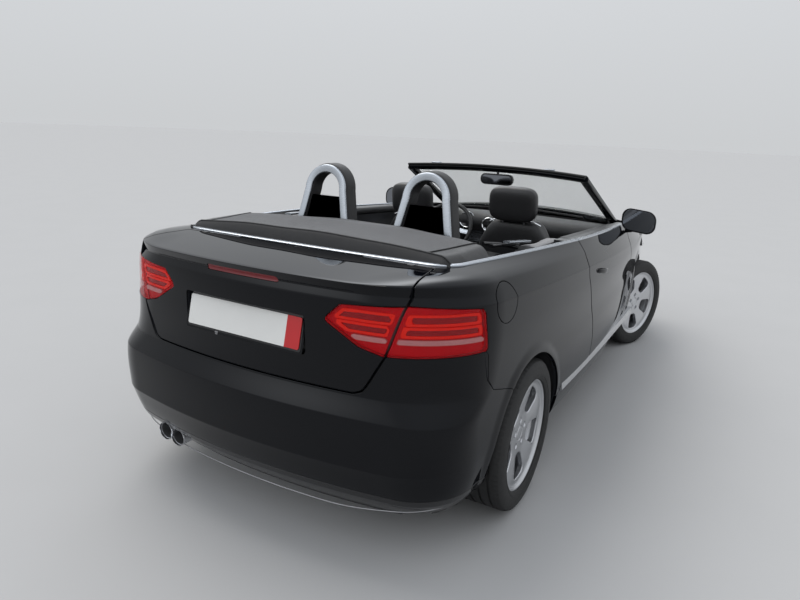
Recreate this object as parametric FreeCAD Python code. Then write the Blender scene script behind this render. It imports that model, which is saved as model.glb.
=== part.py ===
"""Four-seat soft-top convertible car, parked with its hood folded and its front wheels turned.

Millimetres. Origin on the ground under the middle of the car, +X to the nose, +Y to the left, +Z up.
Right-hand pieces are drawn and then mirrored; a zone is a prism that cuts one panel out of the body.
"""

import math
import os
from collections import namedtuple

import FreeCAD, Part

V = FreeCAD.Vector

# Overall sizes
REAR_OVERHANG = 780.0
WHEELBASE = 2578.0
FRONT_OVERHANG = 880.0
WIDTH = 1765.0
LENGTH = REAR_OVERHANG + WHEELBASE + FRONT_OVERHANG
TAIL_X = -LENGTH / 2.0
NOSE_X = LENGTH / 2.0
REAR_AXLE_X = TAIL_X + REAR_OVERHANG
FRONT_AXLE_X = REAR_AXLE_X + WHEELBASE
SIDE_Y = WIDTH / 2.0
FAR = 2.0 * WIDTH

# Wheels
TYRE_R = 318.0
TYRE_W = 225.0
RIM_SEAT_R = 232.0
RIM_WELL_R = 205.0
RIM_W = 196.0
RIM_PLATE_T = 24.0
RIM_PLATE_IN = 14.0
WHEEL_HUB_R = 70.0
WHEEL_HOLES = 5
WHEEL_HOLE_IN_R = 94.0
WHEEL_HOLE_OUT_R = 198.0
WHEEL_HOLE_IN_DEG = 19.0
WHEEL_HOLE_OUT_DEG = 18.0
WHEEL_HOLE_CORNER_R = 22.0
WHEEL_HOLE_FIRST_DEG = 126.0
AXLE_Z = TYRE_R
FRONT_HALF_TRACK = 767.0
REAR_HALF_TRACK = 753.5
STEER_REST_DEG = -20.0
KINGPIN_IN = 60.0
KINGPIN_Y = FRONT_HALF_TRACK - KINGPIN_IN
SPINDLE_R = 24.0
SHAFT_PLAY = 0.05
SPINDLE_OUT = 60.0

# Clearances
PANEL_GAP = 8.0
DOOR_FRONT_GAP = 11.0
LID_FRONT_GAP = 12.0
SEAT = 0.25
SKIN = 12.0
BUMPER_T = 26.0
ARCH_CLEAR = 30.0
FRONT_ARCH_CLEAR = 34.0
LINER_T = 6.0
FRONT_LINER_CLEAR = 60.0
REAR_LINER_CLEAR = 44.0

# Waterlines of the body, bottom to top. z is the height at mid length, fall what it drops per mm
# towards the nose, the droops bend it down near nose and tail; the insets are from the overall box.
Waterline = namedtuple("Waterline", "z fall nose_droop tail_droop tail_in side_in nose_in "
                                    "side_r_back side_r_front tail_r nose_r tail_corner_r nose_corner_r")
WATERLINES = {
    "floor": Waterline(170, 0, 0, 0, 150, 95, 170, 21000, 15000, 3000, 2300, 230, 300),
    "valance": Waterline(265, 0, 0, 0, 58, 30, 60, 21000, 15000, 3000, 2300, 240, 320),
    "lip": Waterline(405, 0, 0, 0, 0, 4, 0, 21000, 15000, 3000, 2300, 285, 330),
    "shelf": Waterline(580, 0, 0, 0, 8, 0, 6, 21000, 15000, 3000, 2300, 260, 330),
    "lid_foot": Waterline(650, 0, 0, 0, 42, 4, 24, 21000, 15000, 3000, 2300, 330, 330),
    "lamp": Waterline(800, 0.02, 0, 0, 43, 7, 80, 21000, 15000, 3000, 2300, 400, 330),
    "tornado": Waterline(863, 0.0535, 11, 0, 45, 16, 130, 21000, 15000, 3000, 2300, 410, 340),
    "shoulder": Waterline(935, 0.052, 40, 4, 34, 46, 215, 19000, 14500, 3100, 2300, 440, 330),
    "belt": Waterline(990, 0.05, 71, 19, 374, 78, 330, 6500, 14000, 14000, 2200, 120, 300),
}
WIDEST_X = -300.0
DROOP_START_X = 600.0
ABOVE_Z = 1400.0

# Doors, sills and pillars
DOOR_FRONT_X = FRONT_AXLE_X - 590.0
# Rear edge of the door from top to bottom: height, distance ahead of the rear axle
DOOR_REAR_EDGE = ((1100, 735), (1000, 735), (850, 743), (718, 814), (609, 878), (500, 914), (364, 929), (300, 929))
DOOR_REAR_X = REAR_AXLE_X + DOOR_REAR_EDGE[0][1]
DOOR_FOOT_X = REAR_AXLE_X + DOOR_REAR_EDGE[-1][1]
DOOR_REAR_SLANT = 30.0
DOOR_INNER_Y = 700.0
DOOR_BOTTOM_Z = 372.0
SILL_TOP_Z = DOOR_BOTTOM_Z - PANEL_GAP
SILL_BOTTOM_Z = 150.0
SILL_CLEAR = 77.0
WING_REAR_X = DOOR_FRONT_X + DOOR_FRONT_GAP
BULKHEAD_X = FRONT_AXLE_X - 384.0
BULKHEAD_T = 20.0
REAR_PILLAR_L = 86.0
GLASS_SLOT_W = 12.0
GLASS_SLOT_IN = 64.0
GLASS_SLOT_Z = 640.0
GLASS_SLOT_REAR = 184.0
DOOR_HINGE_BACK = 80.0
DOOR_HINGE_Y = 822.0
DOOR_HINGE_ZS = (470.0, 730.0)
DOOR_HINGE_ANGLE = 53.0
DOOR_HINGE_PIN_R = 6.0
DOOR_HINGE_EYE_R = 11.0
DOOR_HINGE_EYE_H = 30.0
DOOR_NOTCH_H = 44.0
DOOR_NOTCH_CLEAR = 5.0
DOOR_NOTCH_IN = 690.0

# Boot lid: right half of its outline seen from behind (y, z), and its plan at the tail and deck front
LID_OUTLINE = ((462, 660), (490, 671), (506, 694), (563, 799), (618, 975), (632, 1020), (637, 1200))
LID_REAR_HALF = 657.0
LID_FRONT_HALF = 593.0
LID_T = 34.0
LID_TOP_T = 18.0
STRIP_X = TAIL_X + WATERLINES["belt"].tail_in
STRIP_W = 26.0
STRIP_T = 7.0
LID_FRONT_X = STRIP_X - LID_FRONT_GAP
LID_AXIS_X = STRIP_X - 8.0
LID_BARREL_R = 4.4
LID_PIN_R = 2.5
LID_BARREL_Y = 500.0
LID_BARREL_L = 30.0
LID_LUG_L = 8.0
# Lamps: outlines seen from behind (y, z) on the lid and from the side (x, z) on the quarter
LAMP_T = 12.0
LID_LAMP = ((-700, 975), (-407, 957), (-346, 898), (-475, 822), (-563, 799), (-700, 799))
LAMP_TAIL_X = TAIL_X - 20.0
QUARTER_LAMP = ((LAMP_TAIL_X, 978), (TAIL_X + 109, 975), (TAIL_X + 312, 949), (TAIL_X + 343, 800), (LAMP_TAIL_X, 800))
QUARTER_LAMP_FOOT = 800.0

# Rear plate, leaning on the lid in a recess
PLATE_W = 520.0
PLATE_H = 110.0
PLATE_T = 4.0
PLATE_LEAN_DEG = 12.8
PLATE_FOOT_X = TAIL_X + 46.0
PLATE_FOOT_Z = 775.0
RECESS_EDGE = 12.0

# Bumpers: side outline (x, z) of the rear one's zone behind the arch
BUMPER_TOP_Z = 624.0
BUMPER_FOOT_Z = 292.0
SHELF_T = 24.0
REAR_BUMPER_X = TAIL_X + 560.0
BUMPER_SIDE_Z = 600.0
REAR_BUMPER = ((TAIL_X - 20, QUARTER_LAMP_FOOT), (TAIL_X + 343, QUARTER_LAMP_FOOT), (TAIL_X + 362, 690),
               (TAIL_X + 405, 646), (REAR_BUMPER_X, BUMPER_SIDE_Z), (REAR_BUMPER_X, BUMPER_FOOT_Z), (TAIL_X - 20, BUMPER_FOOT_Z))
VALANCE_T = 30.0
FRONT_BUMPER_FOOT = 190.0
FRONT_BUMPER_TOP = 600.0
FRONT_BUMPER_X = FRONT_AXLE_X + 215.0
FRONT_LAMP_X = FRONT_AXLE_X + 420.0
LAMP_TOP_Z = 772.0
LAMP_TOP_FALL = 0.16
HEAD_LAMP_T = 70.0
GRILLE_TOP_Z = 700.0
GRILLE_FOOT_Z = 330.0
GRILLE_TOP_HALF = 330.0
GRILLE_FOOT_HALF = 270.0
GRILLE_T = 40.0
GRILLE_REAR_X = NOSE_X - 219.0
GRILLE_BARS = 9
GRILLE_SLOT_H = 22.0
INTAKE_DEPTH = 16.0
BONNET_NOSE_HALF = 560.0

# Bonnet and windscreen
BONNET_T = 16.0
WING_LEDGE = 14.0
BONNET_EDGE = WING_LEDGE + PANEL_GAP
SCREEN_BASE_X = FRONT_AXLE_X - 154.0
SCREEN_BASE_Z = 962.0
SCREEN_SIDE_X = FRONT_AXLE_X - 239.0
SCREEN_SIDE_Y = 672.0
SCREEN_SIDE_Z = 930.0
HEADER_X = 262.0
HEADER_Z = 1300.0
HEADER_SIDE_X = 196.0
HEADER_SIDE_Y = 612.0
HEADER_SIDE_Z = 1278.0
FRAME_T = 40.0
PILLAR_W = 52.0
HEADER_W = 44.0
GLASS_T = 6.0
GLASS_DROP = 3.0
BONNET_REAR_X = SCREEN_BASE_X + 33.0
BONNET_REAR_R = 2910.0
BONNET_AXIS_X = FRONT_AXLE_X - 211.0
BONNET_AXIS_Z = 905.0
BONNET_HINGE_Y = 630.0
BONNET_ARM_T = 8.0
BONNET_PIN_R = 6.0
BONNET_EYE_R = 12.0
# Bonnet crown: distance behind the belt outline's nose, height of the crown over the belt line
CROWN = ((900, 64), (490, 50), (250, 28), (90, 8), (0, 1), (-320, 1))
SCUTTLE_T = 10.0
SCUTTLE_Z = 895.0
COWL_T = 14.0
COWL_HALF = 592.0

# Floor, tub and tunnel
FLOOR_Z = 150.0
FLOOR_T = 22.0
HEEL_X = REAR_AXLE_X + 329.0
REAR_FLOOR_Z = 400.0
REAR_FLOOR_HALF = 520.0
TUNNEL_HALF = 110.0
TUNNEL_TOP = 300.0
TUNNEL_T = 18.0
RAIL_IN = 380.0
RAIL_OUT = 450.0
RAIL_FOOT = 300.0
RAIL_TOP = 380.0
TUB_T = 15.0
TUB_HALF = 560.0
TUB_REAR_X = TAIL_X + 169.0
TUB_FRONT_X = REAR_AXLE_X + 239.0
TUB_TOP_Z = 930.0
TUB_SILL_Z = 620.0
TUB_LIP_L = 150.0
HOOP_FOOT_Z = 990.0

# Roll hoops and folded hood
HOOP_REAR_X = TUB_FRONT_X - 100.0
HOOP_DEPTH = 85.0
HOOP_Y = 260.0
HOOP_TOP_Z = 1336.0
HOOP_TOP_R = 122.0
HOOP_FOOT_HALF = 160.0
HOOP_BAND = 38.0
HOOP_PANEL_Z = 1190.0
# Hood sections: distance ahead of the strip, half width, height at the side and in the middle
PACK = ((34, 545, 1045, 1056), (56, 572, 1056, 1092), (150, 590, 1058, 1106), (350, 596, 1058, 1104), (530, 575, 1052, 1094))
PACK_FOOT_Z = TUB_TOP_Z + SEAT

# Cabin
DASH_REAR_X = FRONT_AXLE_X - 739.0
DASH_HALF = 664.0
DASH_TOP_Z = 945.0
DASH_FOOT_Z = 560.0
CONSOLE_REAR_X = -300.0
CONSOLE_HALF = TUNNEL_HALF
SEAT_HALF = 230.0
SEAT_BACK_HALF = 225.0
HEAD_REST_HALF = 135.0
DRIVER_SEAT = (-30.0, 345.0, -10.0)
PASSENGER_SEAT = (-130.0, -345.0, 30.0)
REAR_SEAT_HALF = 560.0
TRIM_INNER_Y = 600.0
TRIM_TOP_DROP = 12.0
TRIM_REAR = 351.0
TRIM_FRONT = 69.0
WHEEL_X = 330.0
WHEEL_Y = 345.0
WHEEL_Z = 850.0
COLUMN_SLOPE = 0.42
STEER_RING_R = 172.0
STEER_GRIP_R = 14.0
COLUMN_R = 14.0
SHROUD_R = 42.0
SHROUD_START = 60.0
MIRROR_X = DOOR_FRONT_X - 106.0

# Running gear
ENGINE_LENGTH = 600.0
ENGINE_HALF = 300.0
ENGINE_FOOT_Z = 400.0
ENGINE_TOP_Z = 800.0
ENGINE_REAR_X = FRONT_AXLE_X - 239.0
SUBFRAME_FOOT_Z = 230.0
SUBFRAME_TOP_Z = 290.0
SUBFRAME_L = 400.0
ARM_HALF = 25.0
ARM_T = 20.0
KNUCKLE_H = 120.0
BALL_R = 12.0
BEAM_R = 32.0
CARRIER_HALF = 60.0
CARRIER_Y = 580.0
SILENCER = (-1900.0, -1660.0, -420.0, 480.0, 200.0, 380.0)
TAIL_PIPES = ((403.0, 238.0), (472.0, 247.0))
TAIL_PIPE_R = 38.0
TAIL_PIPE_WALL = 4.0
TAIL_PIPE_END_X = TAIL_X + 90.0
PIPE_R = 28.0


def box(x0, x1, y0, y1, z0, z1):
    return Part.makeBox(x1 - x0, y1 - y0, z1 - z0, V(x0, y0, z0))


def mirror(shape):
    return shape.mirror(V(0, 0, 0), V(0, 1, 0))


def both(shape):
    return Part.makeCompound([shape, mirror(shape)])


def rod(start, direction, length, radius):
    return Part.makeCylinder(radius, length, V(*start), V(*direction))


def rod_y(x, z, y0, y1, radius):
    return rod((x, y0, z), (0, 1, 0), y1 - y0, radius)


def prism(points, direction):
    """Extrude a closed polygon of 3-D points along a vector."""
    corners = [V(*p) for p in points]
    return Part.Face(Part.makePolygon(corners + corners[:1])).extrude(V(*direction))


def side_prism(points, y0, y1):
    return prism([(x, y0, z) for x, z in points], (0, y1 - y0, 0))


def plan_prism(points, z0, z1):
    return prism([(x, y, z0) for x, y in points], (0, 0, z1 - z0))


def rear_prism(points, x0, x1):
    return prism([(x0, y, z) for y, z in points], (x1 - x0, 0, 0))


def height(name, x):
    line = WATERLINES[name]
    nose = max(0.0, x - DROOP_START_X) / 1000.0
    tail = max(0.0, -x - DROOP_START_X) / 1000.0
    return line.z - line.fall * x - line.nose_droop * nose ** 2 - line.tail_droop * tail ** 2


def corner_arc(end_x, end_r, corner_r, side_r, half, sign):
    """Right-hand corner between an end arc and a side arc: the three centres and two tangent points."""
    end = V(end_x - sign * end_r, 0)
    side = V(WIDEST_X, side_r - half)
    across = side - end
    a = end_r - corner_r
    b = side_r - corner_r
    along = (a * a - b * b + across.Length ** 2) / (2 * across.Length)
    off = math.sqrt(a * a - along * along)
    unit = V(across).normalize()
    normal = V(-unit.y, unit.x)
    centres = [end + unit * along + normal * s * off for s in (1, -1)]
    corner = max((c for c in centres if c.y < 0), key=lambda c: sign * c.x)
    at_end = end + (corner - end).normalize() * end_r
    at_side = side + (corner - side).normalize() * side_r
    return end, corner, side, at_end, at_side


def arc_point(centre, start, stop, share):
    first = math.atan2(start.y - centre.y, start.x - centre.x)
    sweep = math.atan2(stop.y - centre.y, stop.x - centre.x) - first
    sweep = math.atan2(math.sin(sweep), math.cos(sweep))
    angle = first + sweep * share
    radius = (start - centre).Length
    return V(centre.x + radius * math.cos(angle), centre.y + radius * math.sin(angle))


def half_outline(name, inset):
    """Right-hand outline from the tail's middle to the nose's, as arcs of start, middle and end."""
    line = WATERLINES[name]
    half = SIDE_Y - line.side_in - inset
    tail_x = TAIL_X + line.tail_in + inset
    nose_x = NOSE_X - line.nose_in - inset
    end, corner, side, at_end, at_side = corner_arc(
        tail_x, line.tail_r - inset, line.tail_corner_r - inset, line.side_r_back - inset, half, -1)
    front, f_corner, f_side, at_front, at_f_side = corner_arc(
        nose_x, line.nose_r - inset, line.nose_corner_r - inset, line.side_r_front - inset, half, 1)
    wide = V(WIDEST_X, -half)
    runs = [
        (end, V(tail_x, 0), at_end, 1),
        (corner, at_end, at_side, 1),
        (side, at_side, wide, 2),
        (f_side, wide, at_f_side, 3),
        (f_corner, at_f_side, at_front, 1),
        (front, at_front, V(nose_x, 0), 1),
    ]
    arcs = []
    for centre, start, stop, pieces in runs:
        for k in range(pieces):
            arcs.append([arc_point(centre, start, stop, (k + s) / pieces) for s in (0.0, 0.5, 1.0)])
    return arcs


def outline(name, inset=0.0, drop=0.0, level=None):
    """Closed wire round the body at one waterline, or its plan at a stated level."""
    right = half_outline(name, inset)
    left = [[V(p.x, -p.y) for p in reversed(arc)] for arc in reversed(right)]
    edges = []
    for arc in right + left:
        points = [V(p.x, p.y, height(name, p.x) - drop if level is None else level) for p in arc]
        edges.append(Part.Arc(*points).toShape())
    return Part.Wire(edges)


def body_loft(inset=0.0, drop=0.0, foot_z=None):
    """Solid through the waterlines, carried straight up past the belt and, if asked, down to foot_z."""
    wires = [outline(name, inset, drop) for name in WATERLINES]
    wires.append(outline("belt", inset, 0.0, ABOVE_Z))
    if foot_z is not None:
        wires.insert(0, outline("floor", inset, 0.0, foot_z))
    return Part.makeLoft(wires, True, True)


def under_belt(lift=0.0):
    """Everything under the belt line as seen from the side."""
    steps = 16
    xs = [TAIL_X - SKIN + (LENGTH + 2 * SKIN) * k / steps for k in range(steps + 1)]
    top = [(x, height("belt", x) + lift) for x in xs]
    return side_prism([(xs[0], 0)] + top + [(xs[-1], 0)], -FAR, FAR)


def skin(thickness):
    """The body's outer skin, open below and under the belt, closed over the rear deck."""
    return BODY.cut(body_loft(thickness, thickness, 0.0))


def belt_prism(inset, z0=0.0, z1=ABOVE_Z):
    """Upright prism inside the belt outline."""
    return Part.Face(outline("belt", inset, 0.0, z0)).extrude(V(0, 0, z1 - z0))


BODY = body_loft().common(under_belt())
SHELL = skin(SKIN)
BUMPER_SHELL = skin(BUMPER_T)
INSIDE = body_loft(SKIN + SEAT, SKIN + SEAT, 0.0)
BUMPER_INSIDE = body_loft(BUMPER_T + SEAT, BUMPER_T + SEAT, 0.0)
WALL = BODY.cut(box(-FAR, FAR, -DOOR_INNER_Y, DOOR_INNER_Y, 0, ABOVE_Z))
RIGHT = box(-FAR, FAR, -FAR, 0, 0, ABOVE_Z)


def arch(axle_x, clear):
    return rod_y(axle_x, AXLE_Z, -FAR, FAR, TYRE_R + clear)


def door_zone(grow, front_grow):
    """Right door opening; its rear face slants in plan too, so that the inner corner swings clear."""
    front_x = DOOR_FRONT_X + front_grow
    faces = []
    for y, slant in ((-SIDE_Y - SKIN, 0.0), (-DOOR_INNER_Y + 1.0, DOOR_REAR_SLANT)):
        rear = [(REAR_AXLE_X + ahead - grow + slant, z) for z, ahead in DOOR_REAR_EDGE]
        points = [V(x, y, z) for x, z in rear + [(front_x, rear[-1][1]), (front_x, rear[0][1])]]
        faces.append(Part.makePolygon(points + points[:1]))
    return Part.makeLoft(faces, True, True).cut(box(-FAR, FAR, -FAR, FAR, 0, DOOR_BOTTOM_Z - grow))


def door_hinge_x():
    return DOOR_FRONT_X - DOOR_HINGE_BACK


def make_door():
    hinge_x = door_hinge_x()
    door = WALL.common(door_zone(0.0, 0.0))
    slot_y = -DOOR_INNER_Y - GLASS_SLOT_IN
    door = door.cut(box(DOOR_REAR_X + GLASS_SLOT_REAR, DOOR_FRONT_X - 91, slot_y - GLASS_SLOT_W, slot_y, GLASS_SLOT_Z, ABOVE_Z))
    reach = DOOR_HINGE_EYE_R + DOOR_NOTCH_CLEAR
    for z in DOOR_HINGE_ZS:
        notch = plan_prism([
            (hinge_x - reach, -DOOR_HINGE_Y - reach), (DOOR_FRONT_X + 1, -DOOR_HINGE_Y - reach),
            (DOOR_FRONT_X + 1, -DOOR_NOTCH_IN), (hinge_x + 40, -DOOR_NOTCH_IN),
            (hinge_x - reach, -DOOR_HINGE_Y + reach)], z - DOOR_NOTCH_H / 2, z + DOOR_NOTCH_H / 2)
        pin = rod((hinge_x, -DOOR_HINGE_Y, z - DOOR_NOTCH_H / 2 - 5), (0, 0, 1), DOOR_NOTCH_H + 10, DOOR_HINGE_PIN_R)
        door = door.cut(notch).fuse(pin)
    return door


def door_hinge_arm(z):
    """Arm and eye on the front pillar that hold one pin of the right door."""
    hinge_x = door_hinge_x()
    length = (WING_REAR_X - hinge_x + 4) / math.cos(math.radians(DOOR_HINGE_ANGLE))
    arm = box(0, length, -5, 5, -DOOR_HINGE_EYE_H / 2, DOOR_HINGE_EYE_H / 2)
    arm.rotate(V(0, 0, 0), V(0, 0, 1), DOOR_HINGE_ANGLE)
    arm.translate(V(hinge_x, -DOOR_HINGE_Y, z))
    foot = (hinge_x, -DOOR_HINGE_Y, z - DOOR_HINGE_EYE_H / 2)
    eye = rod(foot, (0, 0, 1), DOOR_HINGE_EYE_H, DOOR_HINGE_EYE_R)
    bore = rod(foot, (0, 0, 1), DOOR_HINGE_EYE_H, DOOR_HINGE_PIN_R + SHAFT_PLAY)
    return arm.fuse(eye).cut(bore)


def make_sill():
    return WALL.common(RIGHT).common(box(
        REAR_AXLE_X + TYRE_R + SILL_CLEAR, FRONT_AXLE_X - TYRE_R - SILL_CLEAR, -FAR, 0, SILL_BOTTOM_Z, SILL_TOP_Z))


def lid_zone(grow, front_x):
    """Boot lid's outline from behind, tapering in plan towards the deck's front."""
    half = [(y + grow, z - grow if z < QUARTER_LAMP_FOOT - 100 else z) for y, z in LID_OUTLINE]
    rear_x = TAIL_X - 50
    outline_prism = rear_prism([(-y, z) for y, z in half] + [(y, z) for y, z in reversed(half)], rear_x, front_x)
    rear_half = LID_REAR_HALF + grow
    front_half = LID_FRONT_HALF + grow
    plan = plan_prism([(rear_x, -rear_half), (front_x, -front_half), (front_x, front_half), (rear_x, rear_half)], 0, ABOVE_Z)
    return outline_prism.common(plan)


def lug_zone(y0, y1, grow):
    return box(LID_AXIS_X - 2 * LID_BARREL_R, STRIP_X + 2, y0 - grow, y1 + grow, lid_axis_z() - 2 * LID_BARREL_R, ABOVE_Z)


def lid_axis_z():
    return height("belt", STRIP_X) - LID_BARREL_R


def lid_lugs():
    """Lugs and pin at the right end of the lid, held by the ledge under the bright strip."""
    pieces = []
    axis_z = lid_axis_z()
    for y0 in (-LID_BARREL_Y - LID_BARREL_L / 2 - LID_LUG_L - 1, -LID_BARREL_Y + LID_BARREL_L / 2 + 1):
        pieces.append(box(LID_AXIS_X - LID_BARREL_R, STRIP_X + 3, y0, y0 + LID_LUG_L, axis_z - LID_BARREL_R, axis_z + LID_BARREL_R))
    reach = LID_BARREL_L / 2 + LID_LUG_L
    pieces.append(rod_y(LID_AXIS_X, axis_z, -LID_BARREL_Y - reach, -LID_BARREL_Y + reach, LID_PIN_R))
    return pieces


def make_quarter():
    front = DOOR_FOOT_X + DOOR_REAR_SLANT + 60
    zone = RIGHT.common(box(TAIL_X, front, -FAR, 0, 0, ABOVE_Z))
    pillar = WALL.common(box(DOOR_REAR_X - REAR_PILLAR_L, front, -FAR, 0, 0, ABOVE_Z))
    panel = SHELL.cut(belt_prism(STRIP_W)).common(zone).fuse(pillar)
    panel = panel.cut(door_zone(PANEL_GAP, DOOR_FRONT_GAP)).cut(box(-FAR, FAR, -FAR, 0, 0, SILL_TOP_Z + SEAT))
    panel = panel.cut(lid_zone(PANEL_GAP, STRIP_X)).cut(arch(REAR_AXLE_X, ARCH_CLEAR))
    panel = panel.cut(side_prism([(x + SEAT if x > TAIL_X else x, z + SEAT) for x, z in REAR_BUMPER], -FAR, 0))
    panel = panel.cut(box(TAIL_X - 20, REAR_AXLE_X, -FAR, 0, 0, BUMPER_SIDE_Z - 3))
    panel = panel.cut(side_prism([(x + SEAT, z + SEAT) for x, z in QUARTER_LAMP], -FAR, -LID_FRONT_HALF + 60))
    for lug in lid_lugs():
        panel = panel.fuse(lug)
    return panel


def make_tail_lamp():
    zone = side_prism(QUARTER_LAMP, -FAR, -LID_FRONT_HALF + 60)
    return SHELL.common(RIGHT).common(zone).cut(lid_zone(PANEL_GAP, STRIP_X))


def lamp_cavity():
    """Right-hand pocket in the lid that its lamp fills."""
    return BODY.cut(body_loft(LAMP_T)).common(rear_prism(LID_LAMP, LAMP_TAIL_X, TAIL_X + 200))


def plate_block(width, depth, rise, foot, sink):
    """Block leaning with the number plate; sink is how far it reaches in from the plate's back."""
    block = box(-depth, sink, -width / 2, width / 2, foot, rise)
    block.rotate(V(0, 0, 0), V(0, 1, 0), PLATE_LEAN_DEG)
    block.translate(V(PLATE_FOOT_X, 0, PLATE_FOOT_Z))
    return block


def make_plate():
    return plate_block(PLATE_W, PLATE_T, PLATE_H, 0.0, 0.0)


def make_boot_lid():
    lid = BODY.cut(body_loft(LID_T, LID_TOP_T, 0.0)).common(lid_zone(0.0, LID_FRONT_X))
    lid = lid.cut(plate_block(PLATE_W + 2 * RECESS_EDGE, 60.0, PLATE_H + RECESS_EDGE, -RECESS_EDGE, SEAT))
    cavity = lamp_cavity()
    lid = lid.cut(cavity).cut(mirror(cavity))
    axis_z = lid_axis_z()
    barrel = rod_y(LID_AXIS_X, axis_z, -LID_BARREL_Y - LID_BARREL_L / 2, -LID_BARREL_Y + LID_BARREL_L / 2, LID_BARREL_R)
    web = box(LID_FRONT_X - 10, LID_AXIS_X, -LID_BARREL_Y - LID_BARREL_L / 2, -LID_BARREL_Y + LID_BARREL_L / 2,
              axis_z - 3, axis_z + 3)
    bore = rod_y(LID_AXIS_X, axis_z, -TUB_HALF, 0, LID_PIN_R + SHAFT_PLAY)
    for fix in (lambda s: s, mirror):
        lid = lid.fuse(fix(barrel)).fuse(fix(web)).cut(fix(bore))
        for lug in lid_lugs()[:2]:
            limits = lug.BoundBox
            lid = lid.cut(fix(lug_zone(limits.YMin, limits.YMax, 1.0)))
    return lid


def make_lid_lamp():
    return lamp_cavity().common(lid_zone(0.0, LID_FRONT_X))


def make_rear_bumper():
    zone = side_prism(REAR_BUMPER, -FAR, FAR)
    bumper = BUMPER_SHELL.common(zone).cut(lid_zone(PANEL_GAP, STRIP_X)).cut(arch(REAR_AXLE_X, ARCH_CLEAR))
    above = rear_prism([(-LID_FRONT_HALF, BUMPER_TOP_Z), (-LID_FRONT_HALF, ABOVE_Z), (LID_FRONT_HALF, ABOVE_Z),
                        (LID_FRONT_HALF, BUMPER_TOP_Z)], TAIL_X - 50, STRIP_X)
    shelf = BODY.common(box(TAIL_X, TUB_REAR_X - SEAT, -LID_FRONT_HALF, LID_FRONT_HALF, BUMPER_TOP_Z - SHELF_T, BUMPER_TOP_Z))
    bumper = bumper.cut(above.common(lid_zone(PANEL_GAP, STRIP_X)))
    return bumper.fuse(shelf).removeSplitter()


def make_valance():
    valance = skin(VALANCE_T).common(box(TAIL_X, REAR_AXLE_X, -FAR, FAR, 0, BUMPER_FOOT_Z - SEAT))
    valance = valance.cut(arch(REAR_AXLE_X, ARCH_CLEAR))
    for y, z in TAIL_PIPES:
        valance = valance.cut(rod((TAIL_X, y, z), (1, 0, 0), 400, TAIL_PIPE_R + PANEL_GAP))
    return valance


def lamp_top(x):
    return LAMP_TOP_Z - LAMP_TOP_FALL * (x - FRONT_LAMP_X)


def lamp_band(lift, x0):
    """Side outline of the strip between the front bumper's top and the head lamps' top edge."""
    x1 = NOSE_X + 20
    return side_prism([(x0, FRONT_BUMPER_TOP), (x0, lamp_top(x0) + lift), (x1, lamp_top(x1) + lift), (x1, FRONT_BUMPER_TOP)], -FAR, FAR)


def make_front_wing():
    zone = box(WING_REAR_X, NOSE_X, -FAR, 0, SILL_TOP_Z + SEAT, ABOVE_Z)
    pillar = WALL.common(box(WING_REAR_X, BULKHEAD_X, -FAR, 0, SILL_TOP_Z + SEAT, ABOVE_Z))
    pillar = pillar.cut(rod_y(FRONT_AXLE_X, AXLE_Z, -FAR, 0, TYRE_R + FRONT_LINER_CLEAR + LINER_T + 1))
    wing = SHELL.common(zone).cut(belt_prism(WING_LEDGE)).fuse(pillar)
    wing = wing.cut(arch(FRONT_AXLE_X, FRONT_ARCH_CLEAR)).cut(lamp_band(SEAT, FRONT_LAMP_X))
    wing = wing.cut(box(FRONT_BUMPER_X - SEAT, NOSE_X, -FAR, 0, 0, FRONT_BUMPER_TOP + SEAT))
    wing = wing.cut(box(FRONT_LAMP_X, NOSE_X, -BONNET_NOSE_HALF - PANEL_GAP, 0, 0, ABOVE_Z))
    for z in DOOR_HINGE_ZS:
        wing = wing.fuse(door_hinge_arm(z))
    return wing


def make_head_lamp():
    lamp = skin(HEAD_LAMP_T).common(lamp_band(0.0, FRONT_LAMP_X + SEAT)).common(RIGHT)
    lamp = lamp.cut(box(-FAR, FAR, -GRILLE_TOP_HALF - SEAT, 0, 0, ABOVE_Z)).cut(box(-FAR, FAR, -FAR, 0, 0, FRONT_BUMPER_TOP + SEAT))
    return lamp.cut(box(-FAR, FRONT_LAMP_X + SEAT, -FAR, 0, 0, ABOVE_Z))


def grille_zone(shrink):
    top = GRILLE_TOP_Z - shrink
    foot = GRILLE_FOOT_Z + shrink
    top_half = GRILLE_TOP_HALF - shrink
    foot_half = GRILLE_FOOT_HALF - shrink
    return rear_prism([(-top_half, top), (-foot_half, foot), (foot_half, foot), (top_half, top)], GRILLE_REAR_X, NOSE_X + 20)


def make_front_bumper():
    bumper = BUMPER_SHELL.common(box(FRONT_BUMPER_X, NOSE_X, -FAR, FAR, FRONT_BUMPER_FOOT, FRONT_BUMPER_TOP))
    bumper = bumper.cut(arch(FRONT_AXLE_X, FRONT_ARCH_CLEAR)).cut(grille_zone(0.0))
    intake = rear_prism([(-430, 420), (-660, 400), (-640, 300), (-400, 300)], FRONT_AXLE_X, NOSE_X + 20)
    pocket = BODY.cut(body_loft(INTAKE_DEPTH)).common(intake)
    return bumper.cut(pocket).cut(mirror(pocket))


def make_grille():
    face = skin(GRILLE_T).common(grille_zone(SEAT))
    inner = grille_zone(PANEL_GAP * 2)
    rise = (GRILLE_TOP_Z - GRILLE_FOOT_Z - PANEL_GAP * 4) / GRILLE_BARS
    for k in range(GRILLE_BARS):
        low = GRILLE_FOOT_Z + PANEL_GAP * 2 + rise * k + (rise - GRILLE_SLOT_H) / 2
        face = face.cut(inner.common(box(FRONT_AXLE_X, NOSE_X + 20, -FAR, FAR, low, low + GRILLE_SLOT_H)))
    return max(face.Solids, key=lambda solid: solid.Volume)


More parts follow.
